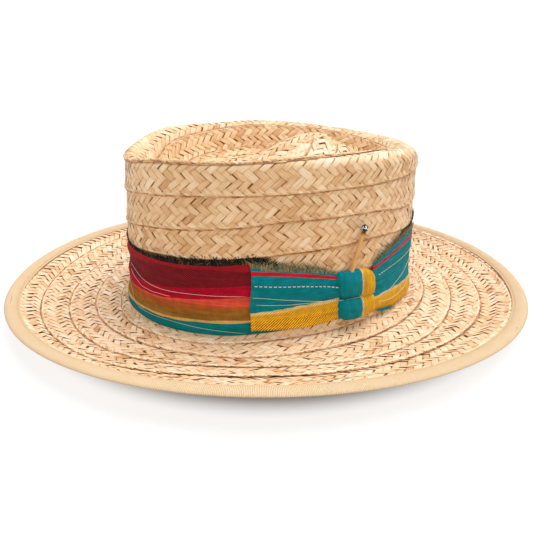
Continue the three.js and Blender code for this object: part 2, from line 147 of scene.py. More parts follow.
def brim_plan(turn, out):
    """Where the brim lies as seen from above. out runs from 0 at the wall to 1 at the edge."""
    x = (HEAD_WIDE + (STRAW_WIDE - HEAD_WIDE) * out) * np.sin(turn * DEG)
    y = HEAD_BACK * (1 - out) - (HEAD_LONG + (STRAW_LONG - HEAD_LONG) * out) * np.cos(turn * DEG)
    return x, y


def brim_top(turn, out):
    """Points of the brim's upper face."""
    x, y = brim_plan(turn, out)
    share = np.maximum(0, np.cos(np.arctan2(x, -y) - VIEW_TURN * DEG)) ** 2
    shares = [0, 0.24, 0.5, 0.76, 1]
    far = smooth(shares, [0, 0, 0.03, 0.32, 1], out) * FAR_LIFT
    near = smooth(shares, [0, 0, 0.22, 0.64, 1], out) * NEAR_LIFT
    return np.stack(np.broadcast_arrays(x, y, BRIM_THICK + far * (1 - share) + near * share), -1)


def floor_up(x, y):
    """Height of the dent's floor, with the raised drop: blunt at the back and drawn out to the front."""
    front, behind, half_wide, middle = 74, 52, 45, 30
    dy = y - middle
    reach = np.where(dy < 0, front, behind)
    narrow = np.where(dy < 0, 1 - 0.55 * ease(-dy / front), 1)
    far = np.minimum(1, np.hypot(x / (half_wide * narrow), dy / reach))
    return RIM_HEIGHT - DENT_DEEP + 0.03 * y + DROP_HIGH * 0.5 * (1 + np.cos(np.pi * far))


def floor_facing(x, y):
    """The direction straight up out of the dent's floor."""
    zx = floor_up(x + 0.5, y) - floor_up(x - 0.5, y)
    zy = floor_up(x, y + 0.5) - floor_up(x, y - 0.5)
    return unit(np.stack([-zx, -zy, np.ones_like(zx)], -1))


def tip(turn, inset, rounding, rim):
    """Points of the crown's top, inset millimetres in from the wall."""
    x = (HEAD_WIDE - inset) * np.sin(turn * DEG)
    y = HEAD_BACK - (HEAD_LONG - inset) * np.cos(turn * DEG)
    inner = np.maximum(rounding - inset, 0)
    drop = rounding - np.sqrt(np.maximum(rounding**2 - inner**2, 0))
    down = ease((inset - rounding) / DENT_SLOPE)
    z = rim - drop + (floor_up(x, y) - rim) * down
    return np.stack(np.broadcast_arrays(x, y, BRIM_THICK + z), -1)


# One table of the whole outer face: distance m runs in from the brim's edge (below 0), up the wall (from 0),
# over the rim and to the middle of the top.
TURNS = np.arange(361.0)
M_LOW, M_STEP, M_COUNT = -83.0, 0.5, 552
M_GRID = M_LOW + M_STEP * np.arange(M_COUNT)


def build_table():
    """Points for every turn and distance, and how long the line to the middle is at each turn."""
    t = TURNS[:, None]
    rounding = RIM_RADIUS * closed(RIM_ROUND, TURNS)[:, None]
    rim = RIM_HEIGHT + RIM_SWING * closed(RIM_RISE, TURNS)[:, None]
    parts = [wall(t, 0, (rim - rounding) * np.linspace(0, 1, 100)[None])]
    quarter = np.linspace(0, 1, 14)[None, 1:] * np.pi / 2
    start = rounding + DENT_SLOPE
    for inset in (
        rounding * (1 - np.cos(quarter)),
        rounding + DENT_SLOPE * np.linspace(0, 1, 40)[None, 1:],
        start + (HEAD_WIDE - start) * np.linspace(0, 1, 70)[None, 1:],
    ):
        parts.append(tip(t, inset, rounding, rim))
    line = np.concatenate(parts, 1)
    step = np.linalg.norm(np.diff(line, axis=1), axis=2)
    run = np.concatenate([np.zeros((361, 1)), np.cumsum(step, 1)], 1)
    up, down = M_GRID[M_GRID >= 0], -M_GRID[M_GRID < 0]
    crown = np.empty((361, len(up), 3))
    for i in range(361):
        for k in range(3):
            crown[i, :, k] = np.interp(up, run[i], line[i, :, k])
    brim = brim_top(t, np.minimum(down / BRIM_REACH, 1.0)[None])
    # The brim's root follows the wall's lean.
    step_out = lean(t, 0.0) * (1 - ease(down / 16))[None]
    for k, share in enumerate(outward(t)):
        brim[..., k] += step_out * share
    return np.concatenate([brim, crown], 1), run[:, -1]


def blur(a, sigma, axis):
    r = int(3 * sigma) + 1
    k = np.exp(-0.5 * (np.arange(-r, r + 1) / sigma) ** 2)
    k /= k.sum()
    pad = [(0, 0)] * a.ndim
    pad[axis] = (r, r)
    wide = np.pad(a, pad, mode="edge")
    n = a.shape[axis]
    return sum(k[j] * np.take(wide, np.arange(j, j + n), axis) for j in range(2 * r + 1))


PLACE, LENGTHS = build_table()
# The corner between brim and wall is a soft one.
near_corner = np.exp(-((M_GRID / 6) ** 4))[None, :, None]
PLACE = PLACE * (1 - near_corner) + blur(PLACE, 3.2, 1) * near_corner


def normals_of(place):
    """Direction out of the straw at every point; in the middle of the top, out of the dent's floor."""
    a = np.gradient(place, axis=0)
    a[0] = a[-1] = place[1] - place[-2]
    n = unit(np.cross(a, np.gradient(place, axis=1)))
    middle = ease((M_GRID[None] - (LENGTHS[:, None] - 14)) / 8)[..., None]
    n = n * (1 - middle) + floor_facing(place[..., 0], place[..., 1]) * middle
    return unit(blur(n, 1.6, 1))


NORMAL = normals_of(PLACE)

# Soft unevenness of hand work
wave_rng = np.random.default_rng(3)
uneven = np.zeros((361, M_COUNT))
for _ in range(26):
    f, g = wave_rng.integers(1, 9), wave_rng.uniform(-0.09, 0.09)
    p = wave_rng.uniform(0, 6.28)
    uneven += wave_rng.uniform(0.02, 0.16) * np.sin(f * TURNS[:, None] * DEG + g * M_GRID[None] + p)
PLACE = PLACE + NORMAL * (uneven * np.clip((LENGTHS[:, None] - M_GRID[None]) / 20, 0, 1))[..., None]


def look_up(table, turn, m):
    """Value of a table between its points."""
    t = np.asarray(turn, float) % 360
    i = np.minimum(t.astype(int), 359)
    a = t - i
    j = np.clip((np.asarray(m, float) - M_LOW) / M_STEP, 0, M_COUNT - 1.001)
    k = j.astype(int)
    b = j - k
    a, b = a[..., None], b[..., None]
    low = table[i, k] * (1 - a) + table[i + 1, k] * a
    high = table[i, k + 1] * (1 - a) + table[i + 1, k + 1] * a
    return low * (1 - b) + high * b


def on_straw(turn, m, height):
    return look_up(PLACE, turn, m) + unit(look_up(NORMAL, turn, m)) * np.asarray(height)[..., None]


# The spiral of braid: distance of each lap's seam at FIRST_TURN, where the laps are counted
FIRST_TURN = 45
RIM_SEAM = 104.8
SEAM_AT = np.array([
    -96, -77.7, -59.4, -41.1, -22.8, -4.5, 14.1, 33, 52.3, 69.8, 87.3, RIM_SEAM,
    122.3, 139.8, 157.3, 174.8, 192.3,
])
SEAM_LAPS = np.arange(-2, 15)
# How far a lap strays from an even spiral, as (turn, shift), seen in the photograph
STRAY = {
    0: [(-16, 0.5), (22, -2.4), (54, 5.4), (90, 2), (139, 0.6)],
    1: [(-18, 0.3), (18, -2.5), (54, 5.8), (90, -2.2), (138, 1.6)],
    2: [(-18, -0.8), (15, -1.5), (53, 2.4), (79, 3), (134, 2.3)],
    3: [(-40, 0), (-14, 0.3), (0, -4.2), (15, -6.5), (34, -4.7), (48, -1.4), (58, 0.8), (73, 3.1), (100, 3)],
    6: [(-14, -5), (20, -2.6), (40, -1.3), (56, 0), (70, 1.4), (93, 0.8), (102, 0.2), (128, -3)],
    7: [
        (-40, -9), (-14, -9.5), (15, -4.8), (34, -2), (49, -0.7), (69, 2.2), (83, 1.8), (101, 0), (128, -5.4),
        (150, -5),
    ],
    8: [
        (-40, -6), (-14, -6.3), (13, -2.3), (31, -0.9), (49, -0.3), (69, 0.8), (83, 0.8), (95, -0.3),
        (126, -1.9),
    ],
    9: [
        (-60, -0.5), (-40, -2.6), (-14, -5.2), (-5, -4.9), (22, -1.1), (39, -0.3), (53, 0), (65, 0.6),
        (72, 1.2), (90, 3), (115, 5), (150, 5),
    ],
}
LAP = np.array([-2.0, 14.0]) * 360 + FIRST_TURN
SPIRAL = np.arange(LAP[0], LAP[1], 1.0)


def build_seam():
    """Distance of the seam at each degree of the spiral."""
    laps = (SPIRAL - FIRST_TURN) / 360
    m = np.interp(laps, SEAM_LAPS, SEAM_AT)
    lap = np.round(laps).astype(int)
    turn = (laps - lap) * 360 + FIRST_TURN
    for k, rows in STRAY.items():
        here = lap == k
        m[here] += along([(FIRST_TURN - 180, 0), *rows, (FIRST_TURN + 180, 0)], turn[here])
    wobble = np.zeros_like(m)
    for _ in range(30):
        f = wave_rng.uniform(0.6, 5.5)
        wobble += wave_rng.uniform(0.02, 0.16) * np.sin(f * SPIRAL * DEG * 1.37 + wave_rng.uniform(0, 6.28))
    return m + wobble * np.where(np.abs(m - RIM_SEAM) < 9, 0.35, 1)


SEAM = build_seam()
BRAID = 23.0
# Length of braid from its start, and its width, at each degree of the spiral
RUN = distance(look_up(PLACE, SPIRAL, SEAM + BRAID * 0.42))
PITCH = np.interp(SPIRAL + 360, SPIRAL, SEAM) - SEAM
PITCH[SPIRAL > LAP[1] - 362] = 30

# The band's lower and upper edge, as (turn, share of BAND_HEIGHT)
BAND_LOW = [
    (-140, 0.08), (-90, 0.07), (-40, 0.07), (0, 0.07), (20, 0.05), (45, 0.06), (60, 0.1), (72, 0.14),
    (82, 0.16), (88, 0.16), (102, 0.14), (112, 0.1), (126, 0.07), (150, 0.06), (185, 0.07),
]
BAND_TOP = [
    (-140, 1.02), (-90, 0.98), (-40, 0.93), (0, 0.9), (20, 0.91), (45, 0.96), (58, 1.0), (70, 0.88),
    (82, 0.76), (88, 0.71), (102, 0.7), (112, 0.87), (126, 1.04), (150, 1.09), (185, 1.06),
]
LOW_AT = BAND_HEIGHT * closed(BAND_LOW, TURNS)
TOP_AT = BAND_HEIGHT * closed(BAND_TOP, TURNS)


# How high straw reaches under the band, and how high and how low between the ribbon's two layers
BAND_OVER, RIBBON_OVER, RIBBON_UNDER = 0.35, -0.1, -1.3
# Distances m at which the ribbon starts, and from which on it hides all straw
RIBBON_AT, RIBBON_HIDES = -73.2, -78


def pressed(turn, m, height):
    """Straw lies flatter under the band and under the ribbon."""
    low, top = np.interp(turn, TURNS, LOW_AT), np.interp(turn, TURNS, TOP_AT)
    band = ease((m - low) / 1.6) * ease((top - 0.4 - m) / 1.8)
    height = np.where(height > BAND_OVER, height * (1 - band) + BAND_OVER * band, height)
    ribbon = ease((RIBBON_AT - m) / 1.2)
    height = np.where(height > RIBBON_OVER, height * (1 - ribbon) + RIBBON_OVER * ribbon, height)
    return np.where(height < RIBBON_UNDER, height * (1 - ribbon) + RIBBON_UNDER * ribbon, height)


def hidden(turn, m):
    """Whether straw lies wholly under the band or under the ribbon."""
    low, top = np.interp(turn, TURNS, LOW_AT), np.interp(turn, TURNS, TOP_AT)
    return ((m > low + 4.2) & (m < top - 4.4)) | (m < RIBBON_HIDES)


def on_braid(run, v, height):
    """Points on the braid, v millimetres in from its seam. Returns them with their turns and distances."""
    theta = np.interp(run, RUN, SPIRAL)
    m = np.interp(theta, SPIRAL, SEAM) + v
    return on_straw(theta, np.clip(m, -81.6, 187), pressed(theta % 360, m, height)), theta, m


# Step of the strips along and across the braid; its outer edge stands LIP_LIFT higher than its inner one
P_RUN, P_RISE = 5.8, 5.0
LIP_LIFT, BASE = 1.15, -0.5


def tilt(v):
    return BASE + LIP_LIFT * (1 - v / BRAID)


def new_object(name, data):
    ob = bpy.data.objects.new(name, data)
    bpy.context.scene.collection.objects.link(ob)
    return ob


def mesh_object(name, points, faces, material, attributes=None):
    """points in millimetres, faces as an array of quads."""
    me = bpy.data.meshes.new(name)
    faces = np.asarray(faces)
    me.vertices.add(len(points))
    me.vertices.foreach_set("co", (np.asarray(points) * MM).astype(np.float32).ravel())
    me.loops.add(faces.size)
    me.loops.foreach_set("vertex_index", faces.ravel().astype(np.int32))
    me.polygons.add(len(faces))
    me.polygons.foreach_set("loop_start", np.arange(0, faces.size, 4, dtype=np.int32))
    me.polygons.foreach_set("use_smooth", np.ones(len(faces), bool))
    for key, values in (attributes or {}).items():
        values = np.asarray(values, np.float32)
        kind, field = ("FLOAT", "value") if values.ndim == 1 else ("FLOAT_VECTOR", "vector")
        me.attributes.new(key, kind, "POINT").data.foreach_set(field, values.ravel())
    me.materials.append(material)
    me.update(calc_edges=True)
    me.validate()
    return new_object(name, me)


def grid_faces(na, nb, flip=False):
    """Quads of a grid of points."""
    i, j = np.meshgrid(np.arange(na - 1), np.arange(nb - 1), indexing="ij")
    a = i * nb + j
    quads = np.stack([a, a + nb, a + nb + 1, a + 1], -1).reshape(-1, 4)
    return quads[:, ::-1] if flip else quads


def tube_faces(rows, around, ring=False):
    """Quads of a tube of rows of points, each row closed; in a ring the last row meets the first."""
    i = np.arange(rows if ring else rows - 1)[:, None]
    j = np.arange(around)[None]
    i2, j2 = (i + 1) % rows, (j + 1) % around
    corners = i * around + j, i2 * around + j, i2 * around + j2, i * around + j2
    return np.stack(np.broadcast_arrays(*corners), -1).reshape(-1, 4)


def many(count, faces, size):
    return (faces[None] + (np.arange(count) * size)[:, None, None]).reshape(-1, faces.shape[1])


def joined(parts):
    """Several lots of (points, faces, values) as one."""
    starts = np.cumsum([0] + [len(part[0]) for part in parts[:-1]])
    moved = [(points, faces + start, *rest) for (points, faces, *rest), start in zip(parts, starts)]
    return [np.concatenate(column) for column in zip(*moved)]


def strip_net(na, nb):
    """Places on a strip of straw, from -1 to 1 along and across it."""
    a, b = np.meshgrid(np.linspace(-1, 1, na), np.linspace(-1, 1, nb), indexing="ij")
    return a.ravel()[None], b.ravel()[None]


def grain_of(a, b, shape, rng):
    """Places on the strips, with a number that sets each strip apart, for the material."""
    own = rng.random(shape[0])[:, None] * 50
    return np.stack([np.broadcast_to(value, shape) for value in (a, b, own)], -1).reshape(-1, 3)


def crossings(row, n):
    """Where the strips of a row lie along the run, and which way they slope."""
    slope = -1.0 if row % 2 == 0 else 1.0
    return (n + (0.25 if slope < 0 else 0.75)) * P_RUN, slope


def turned(x, y, slope):
    """Steps along and across the braid for places on a strip that lies across it on the slant."""
    return 2**-0.5 * (x - slope * y), 2**-0.5 * (slope * x + y)


def floats(keep, side, na, nb, seed, rough_all=1.0):
    """Strips of straw that show between two crossings: points, faces, tints and grain."""
    rng = np.random.default_rng(seed)
    strips = 4000
    strip_tint = 0.6 + 0.055 * rng.standard_normal(strips)
    odd = rng.random(strips)
    strip_tint[odd < 0.045] -= 0.16
    strip_tint[odd > 0.95] += 0.07
    strip_shift = rng.normal(0, 0.045, strips)
    strip_wide = rng.normal(1.035, 0.05, strips)
    a, b = strip_net(na, nb)
    parts = []
    for c in range(5):
        cu, slope = crossings(c, np.arange(int(RUN[-1] / P_RUN) - 2))
        cv = np.full(len(cu), (0.15 + c) * P_RISE)
        theta = np.interp(cu, RUN, SPIRAL)
        turn = theta % 360
        m = np.interp(theta, SPIRAL, SEAM) + cv
        ok = keep(m) & (cv < np.interp(theta, SPIRAL, PITCH) + 2.6)
        ok &= (m < np.interp(turn, TURNS, LENGTHS) - 9) & (m > -84)
        if side > 0:
            ok &= ~hidden(turn, m)
        cu, cv, turn, m = cu[ok], cv[ok], turn[ok], m[ok]
        k = len(cu)
        if not k:
            continue
        strip = np.round((cu / P_RUN - slope * cv / P_RISE)).astype(int)
        which = (strip * 2 + (slope > 0) + seed * 31) % strips
        cu = cu + P_RUN * strip_shift[which]
        rough = rough_all * (1 + 1.4 * ease((m - 136) / 14))
        # Painted light: the straw on the top is made paler than on the wall, less so down in the dent as
        # painted shade, and paler again round turn 112, the side the light comes from, on both the top and
        # the wall.
        painted_light = near_turn(turn, 112, 32)
        dent_shade = ease((m - 110) / 8) * ease((152 - m) / 8)
        tone = strip_tint[which] + rng.normal(0, 0.035, k) - 0.1 * (rng.random(k) < 0.02)
        tone += (0.09 - 0.08 * dent_shade + 0.13 * painted_light) * ease((m - 98) / 8)
        tone += 0.05 * painted_light * (m > 0)

        def stray(size):
            return rng.normal(0, size * rough, k)[:, None]

        gaping = how_open(turn, m)[:, None]
        gape = (c == 2) * (0.22 * (1 - near_turn(turn, 45, 42)) * (m < -6) + 0.14 * (m > 108))
        half_long = 2**-0.5 * (1.3 + stray(0.05))
        wide = strip_wide[which][:, None] - np.abs(stray(0.03))
        half_wide = 0.5 * 2**-0.5 * (1.0 - 0.05 * gaping - gape[:, None]) * wide
        spin = stray(0.045)
        x = a * half_long
        y = b * half_wide * (1 - (0.02 + 0.3 * gaping) * a**2) + stray(0.014)
        du, dv = turned(x - spin * y, y + spin * x, slope)
        u = cu[:, None] + P_RUN * du + stray(0.09)
        v = np.maximum(cv[:, None] + P_RISE * dv + stray(0.07), 0.1)
        h = 0.34 * (1 - np.abs(a) ** 2.6) - 0.05 * b**2 - 0.1 * b**6
        h = h + (0.05 + 0.14 * gaping) * (1 - a**2) + (stray(0.045) * b + stray(0.045) * a) + stray(0.035)
        if side > 0:
            high = tilt(v) + h
        else:
            high = -h - np.where(m[:, None] > 0, WALL_THICK, BRIM_THICK) + 0.45
        p, _, _ = on_braid(u, v, high)
        p[..., 2] = np.maximum(p[..., 2], 0.05)
        faces = many(k, grid_faces(na, nb, flip=side < 0), na * nb)
        parts.append((p.reshape(-1, 3), faces, np.repeat(tone, na * nb), grain_of(a, b, p.shape[:2], rng)))
    return joined(parts)


def how_open(turn, m):
    """How far the weave gapes: little on the wall and the near brim, more on the bent straw."""
    near = near_turn(turn, 50, 34)
    brim = (0.45 - 0.38 * near) * ease((-m - 4) / 14)
    top = (0.2 + 0.4 * ease((m - 140) / 20)) * ease((m - 104) / 6) * (1 - 0.3 * near)
    behind = 0.15 * (1 - near_turn(turn, 45, 60))
    return np.where(m < 0, brim, np.maximum(top, behind))


def slivers(cu, v_mid, long, wide, slant, high, arch, dive, tone, rng, na=6, nb=4):
    """Short slanting pieces of straw that lie along a seam."""
    k = len(cu)
    a, b = strip_net(na, nb)
    long, wide, slant = long[:, None], wide[:, None], slant[:, None]
    u = cu[:, None] + a * long
    v = v_mid[:, None] - a * slant + b * wide * (1 - 0.4 * a**2)
    ridge = np.sqrt(np.maximum(0, 1 - b**2)) * (1 - 0.4 * np.abs(a) ** 2.5)
    h = high[:, None] + arch * ridge - dive * a**2
    p, _, _ = on_braid(u, v, h)
    grain = grain_of(a * 0.75, b * 0.9, p.shape[:2], rng)
    return p.reshape(-1, 3), many(k, grid_faces(na, nb), na * nb), np.repeat(tone, na * nb), grain


def along_seams(step, keep, rng, shift=0.0):
    """Places at even steps along the seams that show."""
    count = int(RUN[-1] / step) - 2
    cu = (np.arange(count) + shift) * step + rng.normal(0, 0.12, count)
    theta = np.interp(cu, RUN, SPIRAL)
    m = np.interp(theta, SPIRAL, SEAM)
    turn = theta % 360
    ok = keep(m) & (m > -76) & (m < np.interp(turn, TURNS, LENGTHS) - 10) & ~hidden(turn, m)
    return cu[ok], turn[ok], m[ok]


def lips(keep, seed):
    """The folded edge of the braid: a rope of slanting turns, with a brown strand under it that is partly the
    braid's own strand and partly painted shade beneath the lip.
    """
    rng = np.random.default_rng(seed)
    lip = LIP_LIFT + BASE
    cu, turn, m = along_seams(P_RUN / 2.6, keep, rng)

    def stray(size):
        return rng.normal(0, size, len(cu))

    rope = slivers(
        cu, 0.7 + stray(0.07), P_RUN * 0.38 * (1 + stray(0.16)), 0.58 * (1 + stray(0.16)),
        0.6 + stray(0.12), lip + 0.14 + stray(0.07), 0.62, 0.55, 0.59 + 0.03 * (m < 0) + stray(0.1), rng)
    cu, turn, m = along_seams(P_RUN / 2, keep, rng, 0.3)
    near = near_turn(turn, 50, 45)
    # Painted shade: the under strand is darker than the straw, darkest on the brim away from turn 50. This is
    # partly its own colour and partly the shade under the lip.
    dark = np.where(m < 0, 0.24 + 0.12 * near, 0.35) + stray(0.1)
    size = np.where(m < 0, 0.64 - 0.14 * near, 0.52) * (1 + stray(0.22))
    under = slivers(
        cu, -0.42 + stray(0.1), P_RUN * 0.42 * (1 + stray(0.2)), size,
        0.15 + stray(0.12), lip - 0.16 + stray(0.1), 0.22, 0.1, dark, rng, 5, 3)
    return joined([rope, under])


def whiskers(keep, count, seed):
    """Thin dark ends of straw that stand a little out of the weave, mostly on the far sides of the brim."""
    rng = np.random.default_rng(seed)
    cu = rng.uniform(0, RUN[-1] - 20, count * 3)
    theta = np.interp(cu, RUN, SPIRAL)
    m = np.interp(theta, SPIRAL, SEAM)
    turn = theta % 360
    ok = keep(m) & (m > -74) & (m < np.interp(turn, TURNS, LENGTHS) - 26) & ~hidden(turn, m)
    ok &= rng.random(len(cu)) > near_turn(turn, 48, 42)
    cu = cu[ok][:count]
    k = len(cu)
    row = rng.integers(0, 4, k)
    v = np.where(row == 0, 0.1, row * P_RISE - 0.9) + rng.normal(0, 0.5, k)
    sign = np.where(row % 2 == 0, 1.0, -1.0)
    return slivers(
        cu, v, rng.uniform(0.7, 2.0, k), rng.uniform(0.1, 0.22, k), sign * rng.uniform(0.2, 1.3, k),
        tilt(v) + 0.42 + rng.normal(0, 0.1, k), 0.16, 0.1, 0.33 + rng.normal(0, 0.1, k), rng, 4, 3)


# Materials
def srgb(r, g, b):
    c = np.array([r, g, b], float) / 255
    lin = np.where(c <= 0.04045, c / 12.92, ((c + 0.055) / 1.055) ** 2.4)
    return (*[float(x) for x in lin], 1.0)


class Nodes:
    """The nodes of one material."""

    def __init__(self, name):
        self.material = bpy.data.materials.new(name)
        self.material.use_nodes = True
        self.tree = self.material.node_tree
        self.bsdf = self.tree.nodes["Principled BSDF"]

    def add(self, kind, **inputs):
        """A node. A name that starts with _ is one of its properties, and any other an input."""
        node = self.tree.nodes.new(kind)
        for key, value in inputs.items():
            if key.startswith("_"):
                setattr(node, key[1:], value)
        for key, value in inputs.items():
            if not key.startswith("_"):
                self.put(node, key, value)
        return node

    def put(self, node, key, value):
        """Sets or links an input: its name with __ for a space, or its number as i0, i1 and so on."""
        by_number = key[0] == "i" and key[1:].isdigit()
        socket = node.inputs[int(key[1:]) if by_number else key.replace("__", " ")]
        if isinstance(value, bpy.types.NodeSocket):
            self.tree.links.new(value, socket)
        else:
            socket.default_value = value

    def math(self, op, a, b=0.0, c=0.0, clamp=False):
        return self.add("ShaderNodeMath", _operation=op, _use_clamp=clamp, i0=a, i1=b, i2=c).outputs[0]

    def times(self, a, b):
        return self.math("MULTIPLY", a, b)

    def total(self, value, *others):
        for other in others:
            value = self.math("ADD", value, other)
        return value

    def less(self, value, other, clamp=False):
        return self.math("SUBTRACT", value, other, clamp=clamp)

    def swing(self, noise, size):
        """A noise as a shift to both sides of nothing."""
        return self.math("MULTIPLY_ADD", noise, size, -size / 2)

    def wave(self, value, length):
        return self.math("SINE", self.times(value, 2 * np.pi / length))

    def attr(self, name, vector=False):
        node = self.add("ShaderNodeAttribute", _attribute_name=name)
        return node.outputs["Vector" if vector else "Fac"]

    def ramp(self, fac, stops, constant=False):
        node = self.add("ShaderNodeValToRGB", Fac=fac)
        node.color_ramp.interpolation = "CONSTANT" if constant else "LINEAR"
        e = node.color_ramp.elements
        while len(e) < len(stops):
            e.new(0.5)
        for el, (pos, col) in zip(e, stops):
            el.position = pos
            el.color = col
        return node.outputs["Color"]

    def mix(self, fac, a, b, how="MIX"):
        return self.add("ShaderNodeMix", _data_type="RGBA", _blend_type=how, i0=fac, i6=a, i7=b).outputs[2]

    def noise(self, vector, scale, detail=2.0, rough=0.5):
        node = self.add("ShaderNodeTexNoise", Vector=vector, Scale=scale, Detail=detail, Roughness=rough)
        return node.outputs["Fac"]

    def place(self):
        return self.add("ShaderNodeTexCoord").outputs["Object"]

    def apart(self, vector):
        return self.add("ShaderNodeSeparateXYZ", Vector=vector).outputs

    def scaled(self, vector, x, y, z=1):
        return self.add("ShaderNodeMapping", Vector=vector, Scale=(x, y, z)).outputs[0]

    def bump(self, height, strength, distance):
        return self.add("ShaderNodeBump", Height=height, Strength=strength, Distance=distance).outputs[0]

    def finish(self, colour, roughness, normal=None, specular=0.3, sheen=0.0):
        self.put(self.bsdf, "Base__Color", colour)
        self.put(self.bsdf, "Roughness", roughness)
        self.bsdf.inputs["Specular IOR Level"].default_value = specular
        if sheen:
            self.bsdf.inputs["Sheen Weight"].default_value = sheen
            self.bsdf.inputs["Sheen Roughness"].default_value = 0.5
        if normal is not None:
            self.put(self.bsdf, "Normal", normal)
        return self.material


def straw_material(name, stops):
    """Straw: streaks and thin dark splits along the strip, with painted shade towards its ends, where they
    dive under the crossing strips, and darker sides that are partly the straw's own edges and partly painted
    shade.
    """
    n = Nodes(name)
    grain = n.attr("grain", vector=True)
    streak = n.noise(n.scaled(grain, 0.35, 3.6), 1.7, 3.0, 0.62)
    fine = n.noise(n.scaled(grain, 0.7, 15.0), 1.5, 3.0, 0.65)
    blot = n.noise(n.place(), 34.0, 3.0, 0.6)
    split = n.math("ABSOLUTE", n.less(n.noise(n.scaled(grain, 0.16, 1.7), 1.3, 0.0), 0.5))
    split = n.math("MULTIPLY_ADD", split, -40.0, 1.0, clamp=True)
    a, b, _ = n.apart(grain)
    # Painted shade: the ends darken where the strip dives under. The sides darken partly as the straw's own
    # edges and partly as painted shade.
    ends, sides = n.math("POWER", n.math("ABSOLUTE", a), 4.0), n.math("POWER", n.math("ABSOLUTE", b), 9.0)
    value = n.total(n.attr("tint"), n.swing(streak, 0.5), n.swing(fine, 0.62))
    value = n.total(n.less(value, n.times(split, 0.2)), n.swing(blot, 0.2))
    value = n.less(n.less(value, n.times(ends, 0.2)), n.times(sides, 0.3), clamp=True)
    height = n.total(n.times(streak, 0.6), n.times(fine, 0.6))
    rough = n.math("MULTIPLY_ADD", streak, 0.25, 0.38)
    return n.finish(n.ramp(value, stops), rough, n.bump(height, 0.4, 0.00025), specular=0.34)


def gap_shade_material(name, colour):
    n = Nodes(name)
    spot = n.noise(n.place(), 260.0, 3.0, 0.6)
    mixed = n.mix(spot, colour, tuple(x * 0.6 for x in colour[:3]) + (1,))
    return n.finish(mixed, 0.85, n.bump(spot, 0.5, 0.0004), specular=0.1)


CROWN_STRAW = straw_material("crown_straw", [
    (0, srgb(104, 58, 24)), (0.22, srgb(170, 108, 56)), (0.42, srgb(208, 158, 106)),
    (0.58, srgb(232, 192, 144)), (0.74, srgb(245, 214, 174)), (1, srgb(252, 238, 216))])
# Painted light: the brim's straw is the crown's straw with a paler ramp, as the brim faces the light from
# above.
BRIM_STRAW = straw_material("brim_straw", [
    (0, srgb(112, 62, 26)), (0.22, srgb(182, 118, 66)), (0.4, srgb(220, 172, 124)),
    (0.54, srgb(240, 205, 164)), (0.7, srgb(249, 225, 193)), (1, srgb(254, 243, 224))])
# Painted shade: a dark brown under all the strips, so that the openings of the weave read as shaded gaps.
SHADED_BACKING = gap_shade_material("straw_depth", srgb(170, 104, 52))

# Straw pieces. The crown's straw starts at SPLIT, a little way up the wall.
SPLIT = 8.0
CORE_STEP = 2.0


def crown_keep(m):
    return m > SPLIT


def crown_lip_keep(m):
    return m > 31


def brim_keep(m):
    return m <= SPLIT


def piece(ob, slot, *nodes):
    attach(ob, "root")
    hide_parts(*nodes)
    return ob


def centre_patch(side, na, nb, seed):
    """The last, straight length of braid across the middle of the top."""
    half_long, half_wide, middle = 44, 15.5, 1.5
    rng = np.random.default_rng(seed)
    a, b = strip_net(na, nb)
    parts = []
    for c in range(-1, 5):
        cu, slope = crossings(c, np.arange(-9, 10))
        cv = np.full(len(cu), (c - 1.5) * P_RISE)
        ok = np.abs(cu) < half_long - 0.5 * np.abs(cv)
        cu, cv = cu[ok], cv[ok]
        k = len(cu)
        y = b * 0.5 * 2**-0.5 * 0.93 * (1 - 0.12 * a**2) + rng.normal(0, 0.012, k)[:, None]
        du, dv = turned(a * 2**-0.5 * 1.2, y, slope)
        px, py = cv[:, None] + P_RISE * dv, middle + cu[:, None] + P_RUN * du
        edge = np.minimum(1, np.hypot(px / half_wide, (py - middle) / half_long))
        h = 0.44 * (1 - np.abs(a) ** 3.2) - 0.07 * b**2 - 0.16 * b**6
        h = h + rng.normal(0, 0.05, k)[:, None] + 0.5 - 1.3 * edge**6
        if side < 0:
            h = -h - WALL_THICK + 0.8
        p = np.stack([px, py, BRIM_THICK + floor_up(px, py)], -1) + floor_facing(px, py) * h[..., None]
        # Painted light: a tint of 0.7, paler than the wall's 0.6, like the rest of the top.
        tint = np.repeat(0.7 + rng.normal(0, 0.06, k), na * nb)
        faces = many(k, grid_faces(na, nb, flip=side > 0), na * nb)
        parts.append((p.reshape(-1, 3), faces, tint, grain_of(a, b, px.shape, rng)))
    return joined(parts)


def shell(name, m_from, m_to, height, flip, to_middle):
    """A sheet without openings inside the straw, so that nothing behind it shows through, in the brown of the
    painted shade in the openings.
    """
    turns = np.arange(0, 361, 3.0)
    rows = np.arange(m_from, m_to, CORE_STEP)
    t, m = np.meshgrid(turns, rows, indexing="ij")
    if to_middle:
        top = np.interp(t % 360, TURNS, LENGTHS)
        m = m_from + (m - m_from) * (top - m_from) / (rows[-1] - m_from)
    p = on_straw(t, m, np.full(t.shape, height))
    return mesh_object(name, p.reshape(-1, 3), grid_faces(len(turns), len(rows), flip), SHADED_BACKING)


def under_weave(name, keep, below=0.42):
    """Straw close under the strips, painted dark brown as shade, so that the openings between them show it.
    """
    u = np.arange(P_RUN, RUN[-1] - 3 * P_RUN, P_RUN / 2)
    theta = np.interp(u, RUN, SPIRAL)
    v = np.linspace(0.02, 1.0, 7)[None] * (np.interp(theta, SPIRAL, PITCH)[:, None] + 1.5)
    p, theta, m = on_braid(u[:, None] + 0 * v, v, tilt(v) - below)
    ok = keep(m) & (m < np.interp(theta % 360, TURNS, LENGTHS) - 7) & (m > -80)
    quads = grid_faces(len(u), v.shape[1])
    quads = quads[ok.ravel()[quads].all(1)]
    used, quads = np.unique(quads, return_inverse=True)
    return mesh_object(name, p.reshape(-1, 3)[used], quads.reshape(-1, 4), SHADED_BACKING)


def straw_piece(name, parts, part, material):
    points, faces, tint, grain = joined(parts)
    ob = mesh_object(name, points, faces, material, {"tint": tint, "grain": grain})
    return piece(ob, part + "_straw", part)


